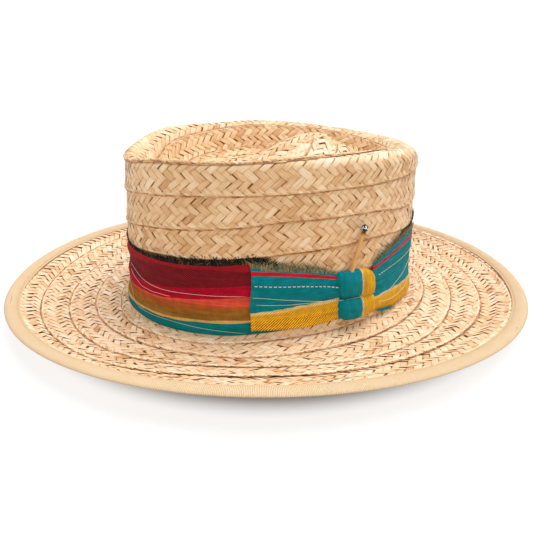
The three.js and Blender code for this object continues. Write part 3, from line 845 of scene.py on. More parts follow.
piece(under_weave("crown_under_weave", crown_keep), "crown_straw", "crown")
piece(under_weave("brim_under_weave", brim_keep), "brim_straw", "brim")
for_crown, for_brim = ("crown", CROWN_STRAW), ("brim", BRIM_STRAW)
crown_weave = straw_piece(
    "crown_weave", [floats(crown_keep, 1, 7, 5, 11), centre_patch(1, 8, 5, 13)], *for_crown)
straw_piece("crown_seams", [lips(crown_lip_keep, 12), whiskers(crown_lip_keep, 420, 14)], *for_crown)
brim_weave = straw_piece("brim_weave", [floats(brim_keep, 1, 7, 5, 21, 1.5)], *for_brim)
straw_piece("brim_seams", [lips(brim_keep, 22), whiskers(brim_keep, 1100, 24)], *for_brim)
straw_piece(
    "crown_inner_face", [floats(lambda m: m > 0, -1, 4, 3, 31), centre_patch(-1, 5, 3, 33)], *for_crown)
straw_piece("brim_lower_face", [floats(lambda m: m <= 0, -1, 4, 3, 41)], *for_brim)
for part, face, m_from, m_to, height in [
    ("crown", "outer", 0, 180, -0.85), ("crown", "inner", 0, 180, -1.7),
    ("brim", "upper", -82, 2, -0.85), ("brim", "lower", -81, 2, -1.25),
]:
    core = shell(f"{part}_core_{face}", m_from, m_to, height, face in ("inner", "lower"), part == "crown")
    piece(core, part + "_straw", part)

# Cloth. ARC is the way round the wall, and CLOTH_THICK the thickness of a layer.
ARC = distance(wall(TURNS, 1.0, 0.0))
CLOTH_THICK = 0.7


def arc(turn):
    return np.interp(turn % 360, TURNS, ARC) + np.floor(turn / 360) * ARC[-1]


def both(grid):
    """Values of a grid on the outer face of a cloth and again on its inner one."""
    return np.concatenate([grid, grid[:, ::-1]], 1)


def cloth(name, outer, inner, along_it, across_it, stripe, material, ring=False):
    """A cloth with two faces. along_it and across_it are millimetres in its weave."""
    na, nb = outer.shape[:2]
    ns = 2 * nb
    quads = tube_faces(na, ns, ring)
    if not ring:
        j = np.arange(nb - 1)
        end = np.stack([j, j + 1, ns - 2 - j, ns - 1 - j], -1)
        quads = np.concatenate([quads, end, end[:, ::-1] + (na - 1) * ns])
    points = np.concatenate([outer, inner[:, ::-1]], 1).reshape(-1, 3)
    weave = np.stack([both(along_it), both(across_it), np.zeros((na, ns))], -1)
    return mesh_object(name, points, quads, material, {"weave": weave, "stripe": both(stripe).ravel()})


def cloth_sheet(name, grids, material, ring=False):
    """A thin cloth against the wall, from grids of turn, height, distance from the wall and stripe."""
    turn, up, out, stripe = [grid[:-1] for grid in grids] if ring else grids
    outer, inner = wall(turn, out, up), wall(turn, out - CLOTH_THICK, up)
    return cloth(name, outer, inner, arc(turn), up, stripe, material, ring)


def cloth_material(name, stops, twills, across_twill=1.3):
    """Stripes along a coordinate from 0 to 1. twills gives how far the diagonal shows in each stripe."""
    n = Nodes(name)
    weave = n.attr("weave", vector=True)
    thread = 0.62
    s = n.total(n.attr("stripe"), n.swing(n.noise(weave, 2.2, 2.0), 0.016))
    colour = n.ramp(s, stops, constant=True)
    twill_on = n.ramp(s, [(p, (t, t, t, 1)) for (p, _), t in zip(stops, twills)], constant=True)
    x, y, _ = n.apart(weave)
    plain = n.times(n.wave(y, thread), n.wave(x, thread))
    shake = n.times(n.noise(weave, 0.35, 1.0), 0.8)
    twill = n.times(n.wave(n.less(n.total(y, shake), x), across_twill), twill_on)
    weft = n.noise(n.scaled(weave, 0.1, 3.4), 1.0, 3.0, 0.65)
    warp = n.noise(n.scaled(weave, 3.4, 0.12), 1.0, 2.0, 0.6)
    broad = n.noise(n.scaled(weave, 0.03, 0.5), 1.0, 3.0, 0.6)
    lines = n.swing(weft, 1.6)
    tone = n.total(
        n.times(lines, 0.6), n.swing(warp, 0.5), n.swing(n.noise(weave, 0.2, 3.0), 0.7), n.swing(broad, 0.9),
        n.times(twill, 0.72), n.times(plain, 0.08), 1.0)
    gain = n.math("MAXIMUM", tone, 0.3)
    shade = n.add("ShaderNodeCombineColor", Red=gain, Green=gain, Blue=gain).outputs[0]
    height = n.total(n.times(twill, 0.8), n.times(plain, 0.35), n.times(lines, 0.5))
    colour = n.mix(1.0, colour, shade, "MULTIPLY")
    return n.finish(colour, 0.86, n.bump(height, 0.6, 0.00035), specular=0.1, sheen=0.03)


TEAL, RED, MUSTARD = srgb(0, 130, 141), srgb(206, 26, 42), srgb(224, 168, 38)
BAND_CLOTH = cloth_material(
    "band_cloth",
    [(0, srgb(0, 122, 128)), (0.125, srgb(220, 172, 96)), (0.25, srgb(154, 110, 44)),
     (0.375, srgb(178, 92, 40)), (0.5, srgb(222, 84, 64)), (0.625, srgb(178, 10, 46)),
     (0.75, srgb(122, 24, 34)), (0.875, srgb(160, 28, 36))],
    [0, 0, 0.1, 0.1, 0, 0.1, 1.0, 0.3],
)
BOW_CLOTH = cloth_material(
    "bow_cloth",
    [(0, MUSTARD), (0.15, MUSTARD), (0.25, srgb(226, 196, 132)), (0.375, TEAL), (0.75, RED), (0.875, TEAL)],
    [1.0, 0.35, 0.3, 0.06, 0.1, 0.06], across_twill=1.75,
)

# Edges between the stripes of the band: heights in millimetres at some turns, from low to high.
BAND_STRIPES = {
    -20: [7.2, 8.4, 14.0, 19.0, 19.6, 25.0, 36.0],
    0: [8.4, 9.5, 14.4, 19.5, 20.1, 26.0, 38.8],
    20: [8.8, 9.9, 15.3, 21.0, 21.6, 28.0, 42.2],
    40: [10.5, 11.7, 18.8, 22.0, 25.5, 32.9, 44.2],
    57: [12.1, 13.3, 21.0, 22.6, 28.6, 36.4, 44.4],
}
# Where these edges lie behind, as shares of the band's upper edge
STRIPES_BEHIND = np.array([0.21, 0.24, 0.39, 0.475, 0.545, 0.69, 0.915])


def lines_at(table, turn):
    """Heights of the edges between stripes at each turn."""
    keys = sorted(table)
    return np.stack([np.interp(turn, keys, heights) for heights in zip(*(table[k] for k in keys))], -1)


def band_levels(turn, top):
    far = np.where(turn > 0, ease((turn - 60) / 50), ease((-25 - turn) / 55))[:, None]
    return lines_at(BAND_STRIPES, turn) * (1 - far) + STRIPES_BEHIND * top[:, None] * far


def between(turn, low, top, rows):
    """Grids of turn, height and share of the height, between two edges."""
    t, share = np.meshgrid(turn, np.linspace(0, 1, rows), indexing="ij")
    return t, low[:, None] + (top - low)[:, None] * share, share


def striped(up, levels, marks):
    """The stripe coordinate of every point, from the heights of its marks at each turn."""
    return np.stack([np.interp(row, at, marks) for row, at in zip(up, levels)])


# Sharp lengthwise folds: share of the height, rise over 100 degrees, depth, first and last turn
FOLDS = [
    (0.9, 0.06, 0.5, -60, 60), (0.62, -0.1, 0.35, -10, 62), (0.42, 0.22, 0.5, -30, 34),
    (0.5, 0.05, 0.45, 22, 66), (0.18, 0.05, 0.35, -70, 60), (0.3, 0.1, 0.3, 10, 66),
    (0.75, 0.12, 0.35, -60, 10), (0.35, 0.1, 0.4, 120, 200), (0.7, -0.1, 0.4, 130, 230),
]

def band_grid():
    """Grids of the band. It lies flat between turns 57 and 139, under the bow."""
    turn = np.linspace(-180, 180, 401)
    low, top = BAND_HEIGHT * closed(BAND_LOW, turn), BAND_HEIGHT * closed(BAND_TOP, turn)
    t, up, share = between(turn, low, top, 61)
    levels = np.column_stack([low - 1, band_levels(turn, top), top + 3])
    fold = 0.5 * np.sin(2 * np.pi * (share * 2.6 + 0.25 * np.sin(t * DEG) + 0.05))
    fold += 0.22 * np.sin(2 * np.pi * (share * 5.3 + t / 95.0))
    fold += 0.12 * np.sin(2 * np.pi * (share + t / 23.0))
    for at, slope, deep, start, stop in FOLDS:
        ridge = share - at - slope * (t - start) / 100
        here = ease((t - start) / 12) * ease((stop - t) / 12)
        fold -= deep * here * (bell(ridge, 0.022) - 0.5 * bell(ridge - 0.05, 0.03))
    under_bow = ease((t - 57) / 4) * ease((139 - t) / 4)
    fold *= ease(share / 0.08) * ease((1 - share) / 0.08) * (1 - 0.85 * under_bow)
    return t, up, 1.85 + fold, striped(up, levels, np.linspace(0, 1, 9))


hat_band = cloth_sheet("hat_band_cloth", band_grid(), BAND_CLOTH, ring=True)
piece(hat_band, "band_cloth", "hat_band")

# Edges of the bow's two strips, as (turn, share of BAND_HEIGHT), and of their stripes, in millimetres at
# some turns
BOW_START = 55.4
BOW_LOW = [(55, 0.142), (65, 0.142), (74, 0.146), (83, 0.168), (88, 0.186)]
BOW_TOP = [(55, 0.955), (56, 0.935), (68, 0.89), (79, 0.835), (86, 0.765), (88, 0.75)]
BOW_LINES = {
    56: [17.0, 18.6, 42.5, 44.9],
    64: [18.2, 19.8, 41.7, 44.0],
    72: [19.9, 21.4, 40.0, 42.2],
    79: [20.6, 22.0, 37.7, 39.8],
    87: [21.2, 22.4, 34.6, 36.4],
}
TAIL_LOW = [(102, 0.13), (108, 0.095), (116, 0.08), (126, 0.08), (137, 0.085)]
TAIL_TOP = [(102, 0.8), (108, 0.865), (114, 0.915), (123, 0.96), (132, 0.965), (140, 0.96)]
TAIL_LINES = {
    103: [15.0, 16.2, 35.4, 37.3],
    108: [15.4, 16.6, 38.2, 40.1],
    114: [15.2, 16.4, 40.7, 42.6],
    124: [14.0, 15.3, 43.3, 45.3],
    137: [12.2, 13.4, 43.6, 45.6],
}


def strip_grid(start, end, low_table, top_table, lines, lift, seed):
    """Grids of a strip of the bow; lift gives its folds."""
    turn = np.linspace(start, end, 90)
    low, top = BAND_HEIGHT * along(low_table, turn), BAND_HEIGHT * along(top_table, turn)
    t, up, share = between(turn, low, top, 41)
    levels = np.column_stack([low, lines_at(lines, turn), top])
    ripple = 0.08 * np.sin(t * 0.9 + share * 7 + np.random.default_rng(seed).uniform(0, 6))
    out = 2.85 + lift(t, up, share) + ripple
    return t, up, out, striped(up, levels, [0, 0.25, 0.375, 0.75, 0.875, 1.0])


# Creases that run out from the knot: depth, turn where one starts, degrees until it is deep, height there,
# rise with each degree, and width
BOW_CREASES = [
    (1.5, 70, 16, 22.6, 0, 1.0), (0.7, 62, 20, 33.6, -0.09, 0.8), (0.5, 58, 26, 12.4, 0.05, 0.7),
    (0.9, 74, 12, 17.6, 0, 0.8), (0.9, 74, 12, 28.6, 0, 0.8),
]
TAIL_CREASES = [(1.3, 112, -9, 20, 0, 1.1), (0.5, 124, -18, 25, -0.1, 0.8)]


def creases(t, up, rows):
    total = 0
    for deep, start, over, at, rise, wide in rows:
        total = total - deep * ease((t - start) / over) * bell(up - at - (t - start) * rise, wide)
    return total


def bow_lift(t, up, share):
    puff = ease((t - 70) / 16) * (1.3 * bell(up - 29, 4) + 1.2 * bell(up - 16, 4))
    soft = 0.25 * np.sin(2 * np.pi * (share * 1.6 + t / 60))
    return creases(t, up, BOW_CREASES) + puff + soft + 0.55 * bell(t - BOW_START, 0.9)


def tail_lift(t, up, share):
    puff = ease((112 - t) / 9) * (1.2 * bell(up - 28, 4) + 1.0 * bell(up - 12, 4))
    return creases(t, up, TAIL_CREASES) + puff + 0.3 * np.sin(2 * np.pi * (share * 1.3 + t / 70 + 0.3))


t, up, out, stripe = strip_grid(BOW_START, 88.5, BOW_LOW, BOW_TOP, BOW_LINES, bow_lift, 51)
# The strip's free end is cut a little unevenly.
t = t + (np.sin(up * 0.21) * 0.22 + np.sin(up * 1.7) * 0.05) * np.exp(-(t - BOW_START) / 4)
bow_strip = cloth_sheet("bow_front_cloth", (t, up, out, stripe), BOW_CLOTH)
piece(bow_strip, "bow_cloth", "bow_strip")
tail_grids = strip_grid(101.5, 137, TAIL_LOW, TAIL_TOP, TAIL_LINES, tail_lift, 52)
bow_tail = cloth_sheet("bow_tail_cloth", tail_grids, BOW_CLOTH)
piece(bow_tail, "bow_cloth", "bow_tail")


def knot():
    """The knot: a padded wrap, teal on one side and mustard on the other, pinched at its waist."""
    first_turn, turns_wide, foot_out, body_high = 86.0, 16.6, 2.5, 4.9
    middle_turn = first_turn + turns_wide / 2
    q = np.linspace(0, 1, 72)[:, None]
    s = np.linspace(-1, 1, 91)[None]
    s = np.sin(s * np.pi / 2) * 0.35 + s * 0.65
    body = (1 - np.abs(s) ** 5) ** 0.42
    turn = first_turn + turns_wide * q
    low = np.interp(turn, [86, 88.3, 92, 96, 103], [9.6, 7.0, 6.2, 6.4, 6.8])
    top = np.interp(turn, [85.5, 86.7, 94, 99, 101.6, 103], [38.6, 39.6, 38.9, 38.2, 35.6, 33])
    middle = np.interp(turn, [86, 91, 95, 101.5], [22.6, 21.6, 20.8, 19.8])
    up = middle + s * np.where(s > 0, top - middle, middle - low)
    thick = along([
        (0, 0.3), (0.04, 0.7), (0.12, 0.94), (0.3, 1), (0.5, 0.93), (0.6, 0.74), (0.66, 0.86), (0.82, 0.9),
        (0.95, 0.7), (1, 0.35)], q)
    pinch = bell(s, 0.045) * 1.9 + 1.2 * bell(s, 0.16) + 0.5 * bell(s, 0.4)
    pinch = pinch * along([(0, 1), (0.5, 1), (0.6, 0.75), (0.7, 0.6), (1, 0.4)], q)
    ripple = 0.16 * np.sin(s * 17 + q * 8) * np.abs(s) + 0.12 * np.sin(q * 26 + s * 4)
    out = foot_out + body_high * thick * body - pinch * body + ripple
    squeeze = 1 - 0.1 * bell(s, 0.1) - 0.03 * bell(s, 0.35) - 0.05 * np.abs(s) ** 6
    turn = middle_turn + (turn - middle_turn) * squeeze + 0.5 * np.maximum(-s, 0) - 0.9 * np.maximum(s, 0)
    across = q + 0 * s
    material = cloth_material(
        "knot_cloth", [(0, TEAL), (0.57, srgb(222, 194, 138)), (0.62, MUSTARD)], [0.08, 0.2, 0.7])
    front, back = wall(turn, out, up), wall(turn, 0 * out + 2.2, up)
    return cloth("bow_knot_wrap", front, back, up, across * 29.0, across, material)


bow_knot = piece(knot(), "bow_cloth", "bow_knot")


# Threads
def ribbons(lines, width, tone, name, material):
    """Flat threads. lines is an array count x points x 3."""
    count, points, _ = lines.shape
    out = unit(lines * np.array([1, 1, 0]) / np.array([HEAD_WIDE, HEAD_LONG, 1]) ** 2)
    side = unit(np.cross(unit(np.gradient(lines, axis=1)), out))
    w = np.asarray(width).reshape(-1, 1, 1) / 2
    pts = np.stack([lines - side * w, lines + out * w * 0.8, lines + side * w], 2).reshape(-1, 3)
    i = np.arange(points - 1) * 3
    quad = np.concatenate([np.stack([i + k, i + 3 + k, i + 4 + k, i + 1 + k], -1) for k in (0, 1)])
    faces = many(count, quad, points * 3)
    return mesh_object(name, pts, faces, material, {"tint": np.repeat(tone, points * 3)})


def thread_material(name, stops):
    n = Nodes(name)
    return n.finish(n.ramp(n.attr("tint"), stops), 0.9, specular=0.1, sheen=0.1)


def fray(
    name, start, end, edge, out, per_mm, length, material, seed, slot, node, lean_mean=0.0, thin=(0.16, 0.3)
):
    """Loose threads along an edge of cloth; edge and length give its height and their length at a turn."""
    rng = np.random.default_rng(seed)
    count = int(abs(arc(np.array(end, float)) - arc(np.array(start, float))) * per_mm)
    turn = rng.uniform(start, end, count)
    lock = 0.75 + 0.35 * np.sin(turn * 2.3) * np.sin(turn * 0.71 + 1) + 0.2 * np.sin(turn * 5.1)
    long = (length(turn) * lock * (0.35 + 0.8 * rng.beta(2.4, 1.4, count)))[:, None]
    s = np.linspace(0, 1, 4)[None]

    def stray(mean, size):
        return rng.normal(mean, size, count)[:, None]

    lean_by = stray(lean_mean, 0.8) * long / 1.6
    t = turn[:, None] + (lean_by * s + stray(0, 1.1) * s**2) / 1.6
    up = edge(turn)[:, None] - 0.9 + (long + 0.9) * (s - 0.16 * s**2 * np.abs(stray(0, 1)))
    o = out + rng.uniform(-0.25, 0.35, count)[:, None] + stray(0.1, 0.35) * s**1.5
    lines = wall(t, np.maximum(o, 1.15), up)
    return piece(ribbons(lines, rng.uniform(*thin, count), rng.random(count), name, material), slot, node)


CHARCOAL = thread_material("charcoal_threads", [
    (0, srgb(16, 14, 15)), (0.78, srgb(34, 30, 30)), (0.92, srgb(78, 66, 52)), (1, srgb(150, 122, 84))])
OLIVE = thread_material("olive_threads", [
    (0, srgb(60, 66, 44)), (0.25, srgb(30, 116, 118)), (0.45, srgb(124, 116, 66)), (0.8, srgb(164, 146, 92)),
    (0.93, srgb(200, 176, 122)), (1, srgb(120, 40, 44))])
PALE = thread_material("pale_thread", [(0, srgb(206, 194, 168)), (1, srgb(240, 232, 212))])
TORN = thread_material("torn_teal_threads", [
    (0, srgb(0, 96, 104)), (0.8, srgb(10, 136, 142)), (1, srgb(120, 150, 130))])
# Length of the loose threads, as (turn, millimetres)
BAND_FRAY = [
    (-60, 3.4), (-20, 3.2), (-5, 2.2), (10, 2.0), (22, 3.4), (40, 4.6), (57, 4.4), (64, 1.6), (80, 0.8),
    (104, 0.8), (114, 1.6), (150, 2.2), (180, 4.0),
]
BOW_FRAY = [55, 66, 74, 80, 85], [5.2, 5.4, 5.2, 3.0, 1.2]
TAIL_FRAY = [103, 107, 116, 130, 140], [2.2, 4.4, 5.0, 4.8, 4.0]
band_fray = fray(
    "band_loose_threads", 108, 360 + 80, lambda turn: BAND_HEIGHT * closed(BAND_TOP, turn), 1.75, 13.0,
    lambda turn: closed(BAND_FRAY, turn), CHARCOAL, 61, "charcoal_threads", "band_frayed_edge",
    thin=(0.2, 0.36))
bow_fray = fray(
    "bow_loose_threads", BOW_START, 85, lambda turn: BAND_HEIGHT * along(BOW_TOP, turn), 2.45, 10.0,
    lambda turn: np.interp(turn, *BOW_FRAY), OLIVE, 62, "olive_threads", "bow_frayed_edge")
torn_bit = fray(
    "tail_torn_threads", 104.5, 112, lambda turn: 7.6 - 0.25 * (turn - 104.5), 3.3, 22.0,
    lambda turn: -3.4 + 0 * turn, TORN, 64, "bow_cloth", "bow_tail", lean_mean=-1.4)
tail_fray = fray(
    "tail_loose_threads", 103, 138, lambda turn: BAND_HEIGHT * along(TAIL_TOP, turn), 2.45, 14.0,
    lambda turn: np.interp(turn, *TAIL_FRAY), OLIVE, 63, "olive_threads", "tail_frayed_edge")


def route(path, count):
    """Turns and heights at even steps of a rounded line through (turn, up) points."""
    k, s = np.linspace(0, 1, len(path)), np.linspace(0, 1, count)
    return [curve(k, v, np.gradient(v, k), s) for v in np.array(path, float).T]


def cords(name, paths, radius, slot, node):
    """Round pale threads through (turn, up) points that lie on the cloth, out millimetres from the wall."""
    rng = np.random.default_rng(71)
    sides = 6
    ang = np.linspace(0, 2 * np.pi, sides, endpoint=False)[None, :, None]
    s = np.linspace(0, 1, 70)
    parts = []
    for path, out in paths:
        t, u = route(path, len(s))
        o = out + 0.12 * np.sin(s * 23 + rng.uniform(0, 6))
        line = wall(t, o, u)
        n = wall(t, o + 1, u) - line
        b = unit(np.cross(unit(np.gradient(line, axis=0)), n))
        taper = radius * np.clip(np.minimum(s, 1 - s) * 30, 0.2, 1)[:, None, None]
        rings = line[:, None] + taper * (np.cos(ang) * n[:, None] + np.sin(ang) * b[:, None])
        quads = np.roll(tube_faces(len(s), sides), -1, axis=1)
        parts.append((rings.reshape(-1, 3), quads, np.full(len(s) * sides, rng.random())))
    points, faces, tint = joined(parts)
    return piece(mesh_object(name, points, faces, PALE, {"tint": tint}), slot, node)


band_cords = cords("stray_threads_band", [
    ([(-3, 33.8), (4, 30.6), (14, 27.4), (25, 27.3), (38, 28.5), (54, 29.2)], 2.95),
    ([(-4, 29.2), (6, 24.3), (14, 23.3), (25, 24)], 2.95),
    ([(-6, 21.2), (1.4, 9.9), (12.6, 7.8), (22, 8.1), (36, 7.2), (54, 5.4)], 2.8),
], 0.1, "band_cloth", "hat_band")
bow_cords = cords("stray_threads_bow", [
    ([(55.6, 29.2), (64, 27.6), (72, 25.5), (80, 23.2), (87, 21.6)], 4.1),
    ([(57, 24.2), (66, 23.4), (76, 23), (86, 22.4)], 3.5),
], 0.11, "bow_cloth", "bow_strip")
cords("stray_thread_knot", [
    ([(85.5, 21.9), (89, 21.3), (93, 21.0), (97.5, 20.7), (102.5, 20.6)], 4.7),
], 0.13, "bow_cloth", "bow_knot")
tail_cords = cords("stray_threads_tail", [
    ([(105, 16.2), (114, 18), (129, 26), (136.5, 29)], 3.7),
    ([(104, 12.6), (112, 10), (124, 11), (136, 17)], 3.6),
], 0.14, "bow_cloth", "bow_tail")


def stitches(name, path, out, node):
    """A row of running stitches as small raised dashes."""
    gap, long, wide = 1.1, 1.7, 0.5
    t, u = route(path, 400)
    run = distance(wall(t, out(t, u), u))
    lift = np.array([-0.15, 0.16, 0.22, 0.16, -0.15])
    lines = []
    for a in np.arange(gap, run[-1] - long, gap + long):
        w = np.linspace(a, a + long, 5)
        tt, uu = np.interp(w, run, t), np.interp(w, run, u)
        lines.append(wall(tt, out(tt, uu) + lift, uu))
    ob = ribbons(np.array(lines), np.full(len(lines), wide), np.full(len(lines), 0.7), name, PALE)
    return piece(ob, "bow_cloth", node)


bow_stitch = stitches(
    "bow_running_stitch", [(56, 35.9), (64, 35.1), (72, 34.2), (80, 32.4), (86.5, 30.1)],
    lambda t, u: 3.1 + bow_lift(t, u, (u - 7.5) / 40), "bow_strip")
tail_stitch = stitches(
    "tail_running_stitch", [(104, 30.6), (112, 32.2), (126, 34.2), (136, 34.4)],
    lambda t, u: 3.1 + tail_lift(t, u, (u - 3) / 42), "bow_tail")

# Binding. Points round its fold: millimetres in from the straw's edge, and up from its upper face.
FOLD = [
    (8.4, 0.3), (8.5, 0.55), (8.3, 0.72), (7.9, 0.7), (7.4, 0.54), (7.0, 0.64), (6.2, 0.7), (5.0, 0.66),
    (3.4, 0.52), (2.0, 0.3), (0.8, 0.0), (-0.1, -0.35), (-0.75, -0.75), (-1.05, -1.1), (-1.0, -1.4),
    (-0.5, -1.65), (0.3, -1.8), (1.6, -1.85), (5.0, -2.1), (9.0, -2.2), (10.0, -2.1), (9.9, -1.85),
    (9.5, -1.8), (5.0, -1.7), (1.6, -1.5), (0.5, -1.4), (-0.1, -1.2), (-0.4, -0.9), (-0.2, -0.4),
    (0.4, -0.25), (1.6, -0.05), (5.0, 0.22), (7.2, 0.12), (8.1, 0.2),
]
FOLD_EDGE = FOLD.index((-0.75, -0.75))
RIBBON_ENDS, STATIONS = 238, 720


def binding_material():
    """Ribbed ribbon: pale, with a seam line near its upper edge, and painted shade, browner, on its outer
    face where it turns down and under.
    """
    n = Nodes("binding_ribbon")
    weave = n.attr("weave", vector=True)
    x, y, _ = n.apart(weave)
    ribs = n.math("MULTIPLY_ADD", n.wave(x, 0.82), 0.5, 0.5)
    fine = n.noise(n.scaled(weave, 2.6, 0.5), 1.0, 2.0)
    line = n.math("SMOOTH_MIN", 1.0, n.math("ABSOLUTE", n.less(y, 2.0)), 0.1)
    # Painted shade: from 9.8 mm along the fold on, the ribbon's outer, downward face is made browner.
    under = n.math("MULTIPLY_ADD", y, 0.5, -4.9, clamp=True)
    colour = n.mix(n.times(n.noise(weave, 0.09, 3.0), 0.9), srgb(252, 226, 188), srgb(242, 210, 166))
    for share, shade in [
        (n.times(n.less(1.0, ribs), 0.38), srgb(184, 138, 88)),
        (n.math("MULTIPLY_ADD", fine, 0.5, -0.2, clamp=True), srgb(222, 186, 136)),
        (n.times(n.less(1.0, line), 0.3), srgb(212, 156, 98)),
        (n.times(under, 0.48), srgb(190, 138, 84)),
    ]:
        colour = n.mix(share, colour, shade)
    height = n.total(ribs, n.times(fine, 0.4))
    return n.finish(colour, 0.74, n.bump(height, 0.9, 0.0004), specular=0.2, sheen=0.05)


def binding():
    """The ribbon round the brim's edge. Its ends meet on the wearer's right, at turn RIBBON_ENDS."""
    turn = RIBBON_ENDS + np.arange(STATIONS + 1) * 360 / STATIONS
    rings = []
    for inward, lift in FOLD:
        share = 1 - inward / BRIM_REACH
        base = brim_top(turn, np.full(len(turn), min(share, 1.0)))
        if share > 1:
            base[:, :2] = np.stack(brim_plan(turn, share), -1)
        base[:, 2] += lift + (0.05 * np.sin(turn * 7 * DEG) if lift > 0 else 0)
        rings.append(base)
    pts = np.stack(rings, 1)
    ns = len(FOLD)
    quads = tube_faces(len(turn), ns)[:, [0, 3, 2, 1]]
    run, across = distance(pts[:, FOLD_EDGE]), distance(pts[0])
    weave = np.stack([np.repeat(run, ns), np.tile(across, len(turn)), np.zeros(len(turn) * ns)], -1)
    return mesh_object("brim_ribbon", pts.reshape(-1, 3), quads, binding_material(), {"weave": weave})


brim_ribbon = piece(binding(), "binding_cloth", "brim_binding")

# Match. It runs up from behind the knot, which covers STICK_HIDDEN millimetres of it. HALF_STICK is half
# its thickness.
FOOT, TOP_END = wall(np.array(90.9), 3.4, 38.0), wall(np.array(95.1), 3.4, 64.3)
MATCH_LONG = np.linalg.norm(TOP_END - FOOT)
AXIS = (TOP_END - FOOT) / MATCH_LONG
SIDE = unit(np.cross(AXIS, wall(np.array(91.0), 1.0, 0.0) - wall(np.array(91.0), 0.0, 0.0)))
FRONT = np.cross(AXIS, SIDE)
HALF_STICK, STICK_HIDDEN = 1.16, 9


def match_stick():
    """A square stick with soft corners, burnt brown next to its head."""
    sides, squareness = 16, 5.0
    ang = np.arange(sides) * np.pi / 8 + np.pi / 16
    c, s = np.cos(ang)[:, None], np.sin(ang)[:, None]
    r = (np.abs(c) ** squareness + np.abs(s) ** squareness) ** (-1 / squareness)
    round_it = c * SIDE + s * FRONT
    steps = np.linspace(-STICK_HIDDEN, MATCH_LONG - 1.6, 26)
    rng = np.random.default_rng(81)
    rings = [FOOT + AXIS * steps[0] + 0.05 * round_it]
    for d in steps:
        half = HALF_STICK * (1 + 0.03 * np.sin(d * 0.9)) * (1 if d < MATCH_LONG - 4 else 1.03)
        rings.append(FOOT + AXIS * d + half * r * round_it * (1 + rng.normal(0, 0.01)))
    for shrink in (0.6, 0.05):
        rings.append(FOOT + AXIS * (steps[-1] + 0.2) + HALF_STICK * shrink * r * round_it)
    d = np.concatenate([[steps[0]], steps, [steps[-1]] * 2])
    across = np.tile(np.arange(sides) / sides * 9.0, len(rings))
    grain = np.stack([np.repeat(d, sides), across, np.zeros(len(rings) * sides)], -1)
    n = Nodes("match_wood")
    g = n.attr("grain", vector=True)
    lines = n.noise(n.scaled(g, 0.1, 1.4), 1.6, 3.0)
    wood = n.ramp(lines, [(0.2, srgb(188, 130, 66)), (0.5, srgb(222, 172, 104)), (0.8, srgb(240, 200, 140))])
    burnt = n.math("MULTIPLY_ADD", n.apart(g)[0], 0.4, -0.4 * (MATCH_LONG - 4.6), clamp=True)
    colour = n.mix(burnt, wood, srgb(70, 44, 28))
    material = n.finish(colour, 0.6, n.bump(lines, 0.3, 0.0002), specular=0.25)
    points = np.stack(rings).reshape(-1, 3)
    return mesh_object("match_stick_wood", points, tube_faces(len(rings), sides), material, {"grain": grain})


def match_head():
    """A lumpy, shiny black head, with painted highlights: white glints in its colour."""
    rows, cols = 20, 28
    th = np.linspace(0.02, np.pi - 0.02, rows)[:, None]
    ph = (np.arange(cols) * 2 * np.pi / cols)[None]
    radius = 2.1 * (1 + 0.035 * np.sin(3 * ph + 1.3) * np.sin(th) + 0.03 * np.sin(5 * th + 2 * ph))
    long = 2.45 * (1 + 0.08 * np.cos(th))
    points = TOP_END - AXIS * 0.1 + (long * np.cos(th) * np.ones_like(ph))[..., None] * AXIS
    points = points + (radius * np.sin(th) * np.cos(ph))[..., None] * SIDE
    points = points + (radius * np.sin(th) * np.sin(ph))[..., None] * FRONT
    n = Nodes("match_tip")
    # Painted highlights: where the noise is high the colour turns grey and white as glints. The same noise
    # makes the bumps.
    glint_spots = n.noise(n.place(), 620.0, 2.0)
    colour = n.ramp(glint_spots, [
        (0.0, srgb(6, 6, 8)), (0.5, srgb(20, 20, 24)), (0.56, srgb(120, 122, 128)),
        (0.61, srgb(255, 255, 255))])
    material = n.finish(colour, 0.14, n.bump(glint_spots, 0.3, 0.00015), specular=0.45)
    quads = tube_faces(rows, cols)[:, [0, 3, 2, 1]]
    return mesh_object("match_head_tip", points.reshape(-1, 3), quads, material)


piece(match_stick(), "match_wood", "match_stick")
piece(match_head(), "match_tip", "match_head")

# Stage. The floor's painted light starts within these shares of the brim's outline, seen from above; inside
# them lies a painted shadow.
FLOOR_RADIUS, FLOOR_SIDES = 1.15, 96
GLOW_FROM, GLOW_FULL, GLOW = 0.8, 0.95, 0.8
floor_me = bpy.data.meshes.new("floor")
angles = np.linspace(0, 2 * np.pi, FLOOR_SIDES, endpoint=False)
ring = [(float(FLOOR_RADIUS * np.cos(a)), float(FLOOR_RADIUS * np.sin(a)), 0.0) for a in angles]
floor_me.from_pydata(ring, [], [tuple(range(FLOOR_SIDES))])
floor = new_object("floor", floor_me)
n = Nodes("floor_paint")
paint = n.mix(n.times(n.noise(n.place(), 2.0), 0.1), (0.22, 0.22, 0.22, 1), (0.2, 0.2, 0.2, 1))
n.finish(paint, 0.9, specular=0.0)
# Painted light and shadow: the dark grey floor glows as if lit, but for a painted shadow under the brim.
x, y, _ = n.apart(n.place())
away = n.math("POWER", n.math("DIVIDE", x, STRAW_WIDE * MM), 2.0)
away = n.math("SQRT", n.total(away, n.math("POWER", n.math("DIVIDE", y, STRAW_LONG * MM), 2.0)))
glow = n.add("ShaderNodeMapRange", _interpolation_type="SMOOTHSTEP", Value=away)
n.put(glow, "From__Min", GLOW_FROM)
n.put(glow, "From__Max", GLOW_FULL)
n.put(n.bsdf, "Emission__Color", (1, 1, 1, 1))
n.put(n.bsdf, "Emission__Strength", n.times(glow.outputs["Result"], GLOW))
floor_me.materials.append(n.material)

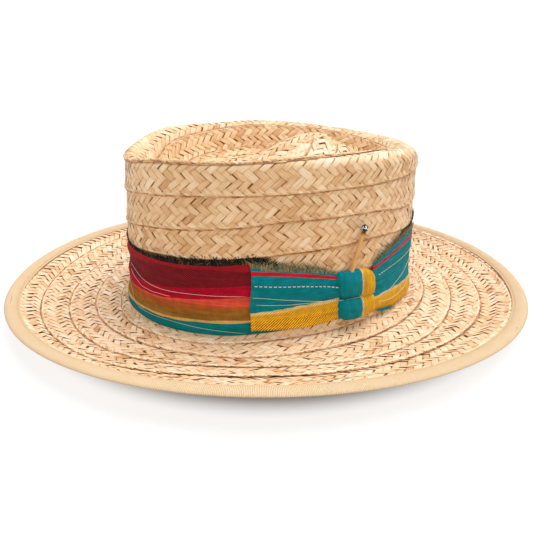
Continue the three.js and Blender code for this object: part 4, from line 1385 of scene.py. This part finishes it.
# Light. The camera sees the world twice as bright as the hat does.
world = bpy.data.worlds.new("studio")
bpy.context.scene.world = world
world.use_nodes = True
tree = world.node_tree
back = tree.nodes["Background"]
back.inputs["Color"].default_value = (1, 1, 1, 1)
path = tree.nodes.new("ShaderNodeLightPath")
level = tree.nodes.new("ShaderNodeMath")
level.operation = "MULTIPLY_ADD"
level.inputs[1].default_value = 0.6
level.inputs[2].default_value = 0.6
tree.links.new(path.outputs["Is Camera Ray"], level.inputs[0])
tree.links.new(level.outputs[0], back.inputs["Strength"])


def softbox(name, place, aim, size, power):
    """A small window that lights the hat from one side."""
    data = bpy.data.lights.new(name, "AREA")
    data.shape = "RECTANGLE"
    data.size, data.size_y = size
    data.energy = power
    ob = new_object(name, data)
    ob.location = place
    ob.rotation_euler = (Vector(aim) - Vector(place)).to_track_quat("-Z", "Y").to_euler()


softbox("front_window", (0.75, -1.1, 0.95), (0, 0, 0.08), (0.1, 0.13), 2.4)
sky = bpy.data.lights.new("ceiling_light", "SUN")
sky.energy = 2.7
sky.angle = 0.95
new_object("ceiling_light", sky).rotation_euler = Vector((0.0, 0.34, 1.0)).to_track_quat("Z", "Y").to_euler()

# Camera: it looks at the middle of the hat from EYE, tipped a little to one side.
EYE, AIM, TIPPED = Vector((329.5, -205.6, 168.9)) * MM, Vector((0, 0, BRIM_THICK)) * MM, 0.0234
cam_data = bpy.data.cameras.new("camera")
cam = new_object("camera", cam_data)
look = (AIM - EYE).normalized()
right = look.cross(Vector((0, 0, 1))).normalized()
above = right.cross(look)
c, s = np.cos(TIPPED), np.sin(TIPPED)
right, above = right * c + above * s, above * c - right * s
cam.matrix_world = Matrix([(right[i], above[i], -look[i], EYE[i]) for i in range(3)] + [(0, 0, 0, 1)])
cam_data.lens = 38.73
cam_data.sensor_width = 36
cam_data.shift_x = -0.0107
cam_data.shift_y = 0.0305
cam_data.clip_start, cam_data.clip_end = 0.01, 100
bpy.context.scene.camera = cam
bpy.context.scene.view_settings.view_transform = "Standard"
